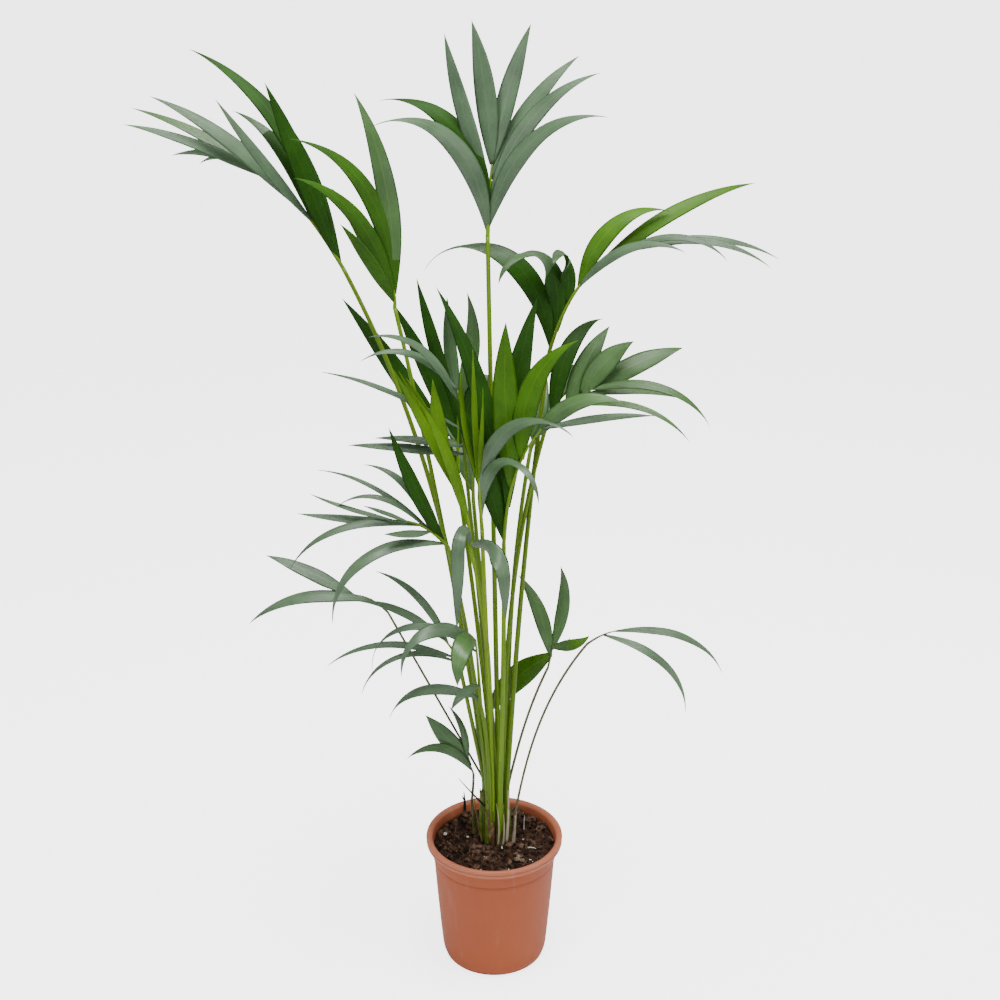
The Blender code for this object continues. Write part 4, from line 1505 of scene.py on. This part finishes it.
@dataclass
class SoilMaker:
    """The peat in the pot: an uneven top, crumbs, fibres and pale bits."""

    edge_radius: float = 84.0
    foot_radius: float = 69.6
    floor: float = 4.4
    rows: int = 60
    sides: int = 180
    relief: float = 3.6

    def surface(self) -> Skin:
        """Return the soil's closed body with its uneven top."""
        skin = Skin()
        rings = []
        for row in range(self.rows):
            radius = self.edge_radius * (1.0 - row / self.rows)
            ring = []
            for side in range(self.sides):
                angle = 2.0 * math.pi * side / self.sides
                spot = Vector((radius * math.cos(angle), radius * math.sin(angle), 0.0))
                lump = noise.noise(spot / 26.0) + 0.5 * noise.noise(spot / 9.0) + 0.3 * noise.noise(spot / 4.0)
                spot.z = SOIL_LEVEL - 1.0 + self.relief * lump * smooth_step(radius, 6.0, 20.0)
                spot.z -= 2.5 * smooth_step(radius, 76.0, 84.0)
                ring.append(skin.point(spot))
            rings.append(ring)
        centre = skin.point(Vector((0.0, 0.0, SOIL_LEVEL - 1.0)))
        foot = []
        for side in range(self.sides):
            angle = 2.0 * math.pi * side / self.sides
            foot.append(skin.point(Vector((self.foot_radius * math.cos(angle), self.foot_radius * math.sin(angle), self.floor))))
        rings.insert(0, foot)
        skin.tube(rings, [0.0] * len(rings), 0, capped=False)
        for i in range(self.sides):
            j = (i + 1) % self.sides
            skin.face((rings[-1][i], rings[-1][j], centre), ((0.0, 0.0),) * 3, 0)
        skin.face(tuple(reversed(foot)), ((0.0, 0.0),) * self.sides, 0)
        return skin

    def build(self, wardrobe: Wardrobe) -> None:
        """Build the soil and scatter what lies on it."""
        body = self.surface().build("soil_body", [wardrobe.soil])
        top = self.top_only(body)
        tree = ScatterTree("soil_scatter")
        settle(body, Slot.SOIL, "soil")
        kinds = (
            ("soil_crumbs", wardrobe.crumb, dict(Density=42000.0, Size=0.0046, Long=0.9, Lift=0.0001, Seed=2)),
            ("soil_clods", wardrobe.clod, dict(Density=3600.0, Size=0.0160, Long=0.7, Lift=0.0006, Seed=6)),
            ("soil_fibres", wardrobe.fibre, dict(Density=9000.0, Size=0.0012, Long=9.0, Lift=0.0016, Seed=8)),
            ("soil_pale_bits", wardrobe.white, dict(Density=260.0, Size=0.0034, Long=0.7, Lift=0.0026, Seed=15)),
        )
        for name, finish, sizes in kinds:
            settle(tree.scatter(name, top, finish, **sizes), Slot.SOIL, "soil")
        bpy.data.objects.remove(top, do_unlink=True)

    def top_only(self, body: bpy.types.Object) -> bpy.types.Object:
        """Return a copy of the soil that keeps only its upward faces inside the wall."""
        mesh = bpy.data.meshes.new("soil_top")
        reach = (self.edge_radius - 5.0) * MM
        faces = [tuple(face.vertices) for face in body.data.polygons
                 if face.normal.z > 0.4 and Vector(face.center[:2]).length < reach]
        mesh.from_pydata([spot.co[:] for spot in body.data.vertices], [], faces)
        mesh.update()
        made = bpy.data.objects.new("soil_top", mesh)
        bpy.context.scene.collection.objects.link(made)
        return made


@dataclass
class Studio:
    """The camera, lights and floor."""

    camera_place: tuple = (0.008, -1.75, 1.347)
    pitch: float = 20.65
    lens: float = 52.67
    sensor: float = 36.0
    bowl: tuple = ((4.0, 0.0), (4.8, 0.08), (5.5, 0.35), (6.1, 0.85), (6.5, 1.5), (6.7, 2.4), (6.75, 3.4))
    bowl_sides: int = 96
    sky_light: float = 0.42
    sky_seen: float = 3.6
    paper_glow: float = 3.2

    def area(self, name: str, place: tuple, aim: tuple, size: float, power: float) -> None:
        """Add a square soft light.

        Args:
            name: The light's name.
            place: Where it stands.
            aim: The point it shines at.
            size: Its side in metres.
            power: Its power in watts.
        """
        data = bpy.data.lights.new(name, "AREA")
        data.size = size
        data.energy = power
        lamp = bpy.data.objects.new(name, data)
        lamp.location = place
        lamp.rotation_euler = (Vector(aim) - Vector(place)).to_track_quat("-Z", "Y").to_euler()
        bpy.context.scene.collection.objects.link(lamp)

    def build(self) -> None:
        """Set up the camera, the world, the lights and the floor."""
        scene = bpy.context.scene
        data = bpy.data.cameras.new("camera")
        data.sensor_width = self.sensor
        data.lens = self.lens
        camera = bpy.data.objects.new("camera", data)
        camera.location = self.camera_place
        camera.rotation_euler = (math.radians(90.0 - self.pitch), 0.0, 0.0)
        scene.collection.objects.link(camera)
        scene.camera = camera
        world = bpy.data.worlds.new("studio")
        world.use_nodes = True
        sky = world.node_tree.nodes["Background"]
        sky.inputs["Color"].default_value = (1.0, 1.0, 1.0, 1.0)
        seen = world.node_tree.nodes.new("ShaderNodeLightPath")
        strength = world.node_tree.nodes.new("ShaderNodeMapRange")
        strength.inputs["To Min"].default_value = self.sky_light
        strength.inputs["To Max"].default_value = self.sky_seen
        world.node_tree.links.new(seen.outputs["Is Camera Ray"], strength.inputs["Value"])
        world.node_tree.links.new(strength.outputs[0], sky.inputs["Strength"])
        scene.world = world
        self.area("overhead", (0.2, -0.3, 3.2), (0.0, 0.0, 0.6), 1.6, 120.0)
        self.area("front_left", (-1.8, -2.2, 2.2), (0.0, 0.0, 0.6), 1.6, 30.0)
        self.area("right", (2.2, -0.8, 1.8), (0.0, 0.0, 0.6), 1.4, 16.0)
        rows = []
        for radius, height in self.bowl:
            spots = [2.0 * math.pi * side / self.bowl_sides for side in range(self.bowl_sides)]
            rows.append([(radius * math.cos(a), radius * math.sin(a), height) for a in spots])
        mesh = bpy.data.meshes.new("floor")
        faces = [tuple(range(self.bowl_sides))]
        for row in range(len(rows) - 1):
            for i in range(self.bowl_sides):
                j = (i + 1) % self.bowl_sides
                low, high = row * self.bowl_sides, (row + 1) * self.bowl_sides
                faces.append((low + j, low + i, high + i, high + j))
        mesh.from_pydata([spot for row in rows for spot in row], [], faces)
        mesh.polygons.foreach_set("use_smooth", [True] * len(faces))
        dye = Dye("floor_paper", 0.9, 0.1)
        dye.shader.inputs["Base Color"].default_value = (0.92, 0.92, 0.92, 1.0)
        glow = dye.node("ShaderNodeLightPath")
        lit = dye.math("MULTIPLY", glow.outputs["Is Camera Ray"], self.paper_glow)
        dye.shader.inputs["Emission Color"].default_value = (1.0, 1.0, 1.0, 1.0)
        dye.tree.links.new(lit, dye.shader.inputs["Emission Strength"])
        mesh.materials.append(dye.material)
        floor = bpy.data.objects.new("floor", mesh)
        scene.collection.objects.link(floor)


def main() -> None:
    """Build the plant piece by piece."""
    logging.basicConfig(level=logging.INFO, format="%(message)s")
    wardrobe = Wardrobe()
    PotMaker().build(wardrobe)
    SoilMaker().build(wardrobe)
    LitterMaker().build(wardrobe)
    for name, stem in STEMS.items():
        StemMaker(name, stem).build(wardrobe)
    for name, frond in FRONDS.items():
        FrondMaker(name, frond).build(wardrobe)
    Studio().build()


if __name__ == "__main__":
    main()
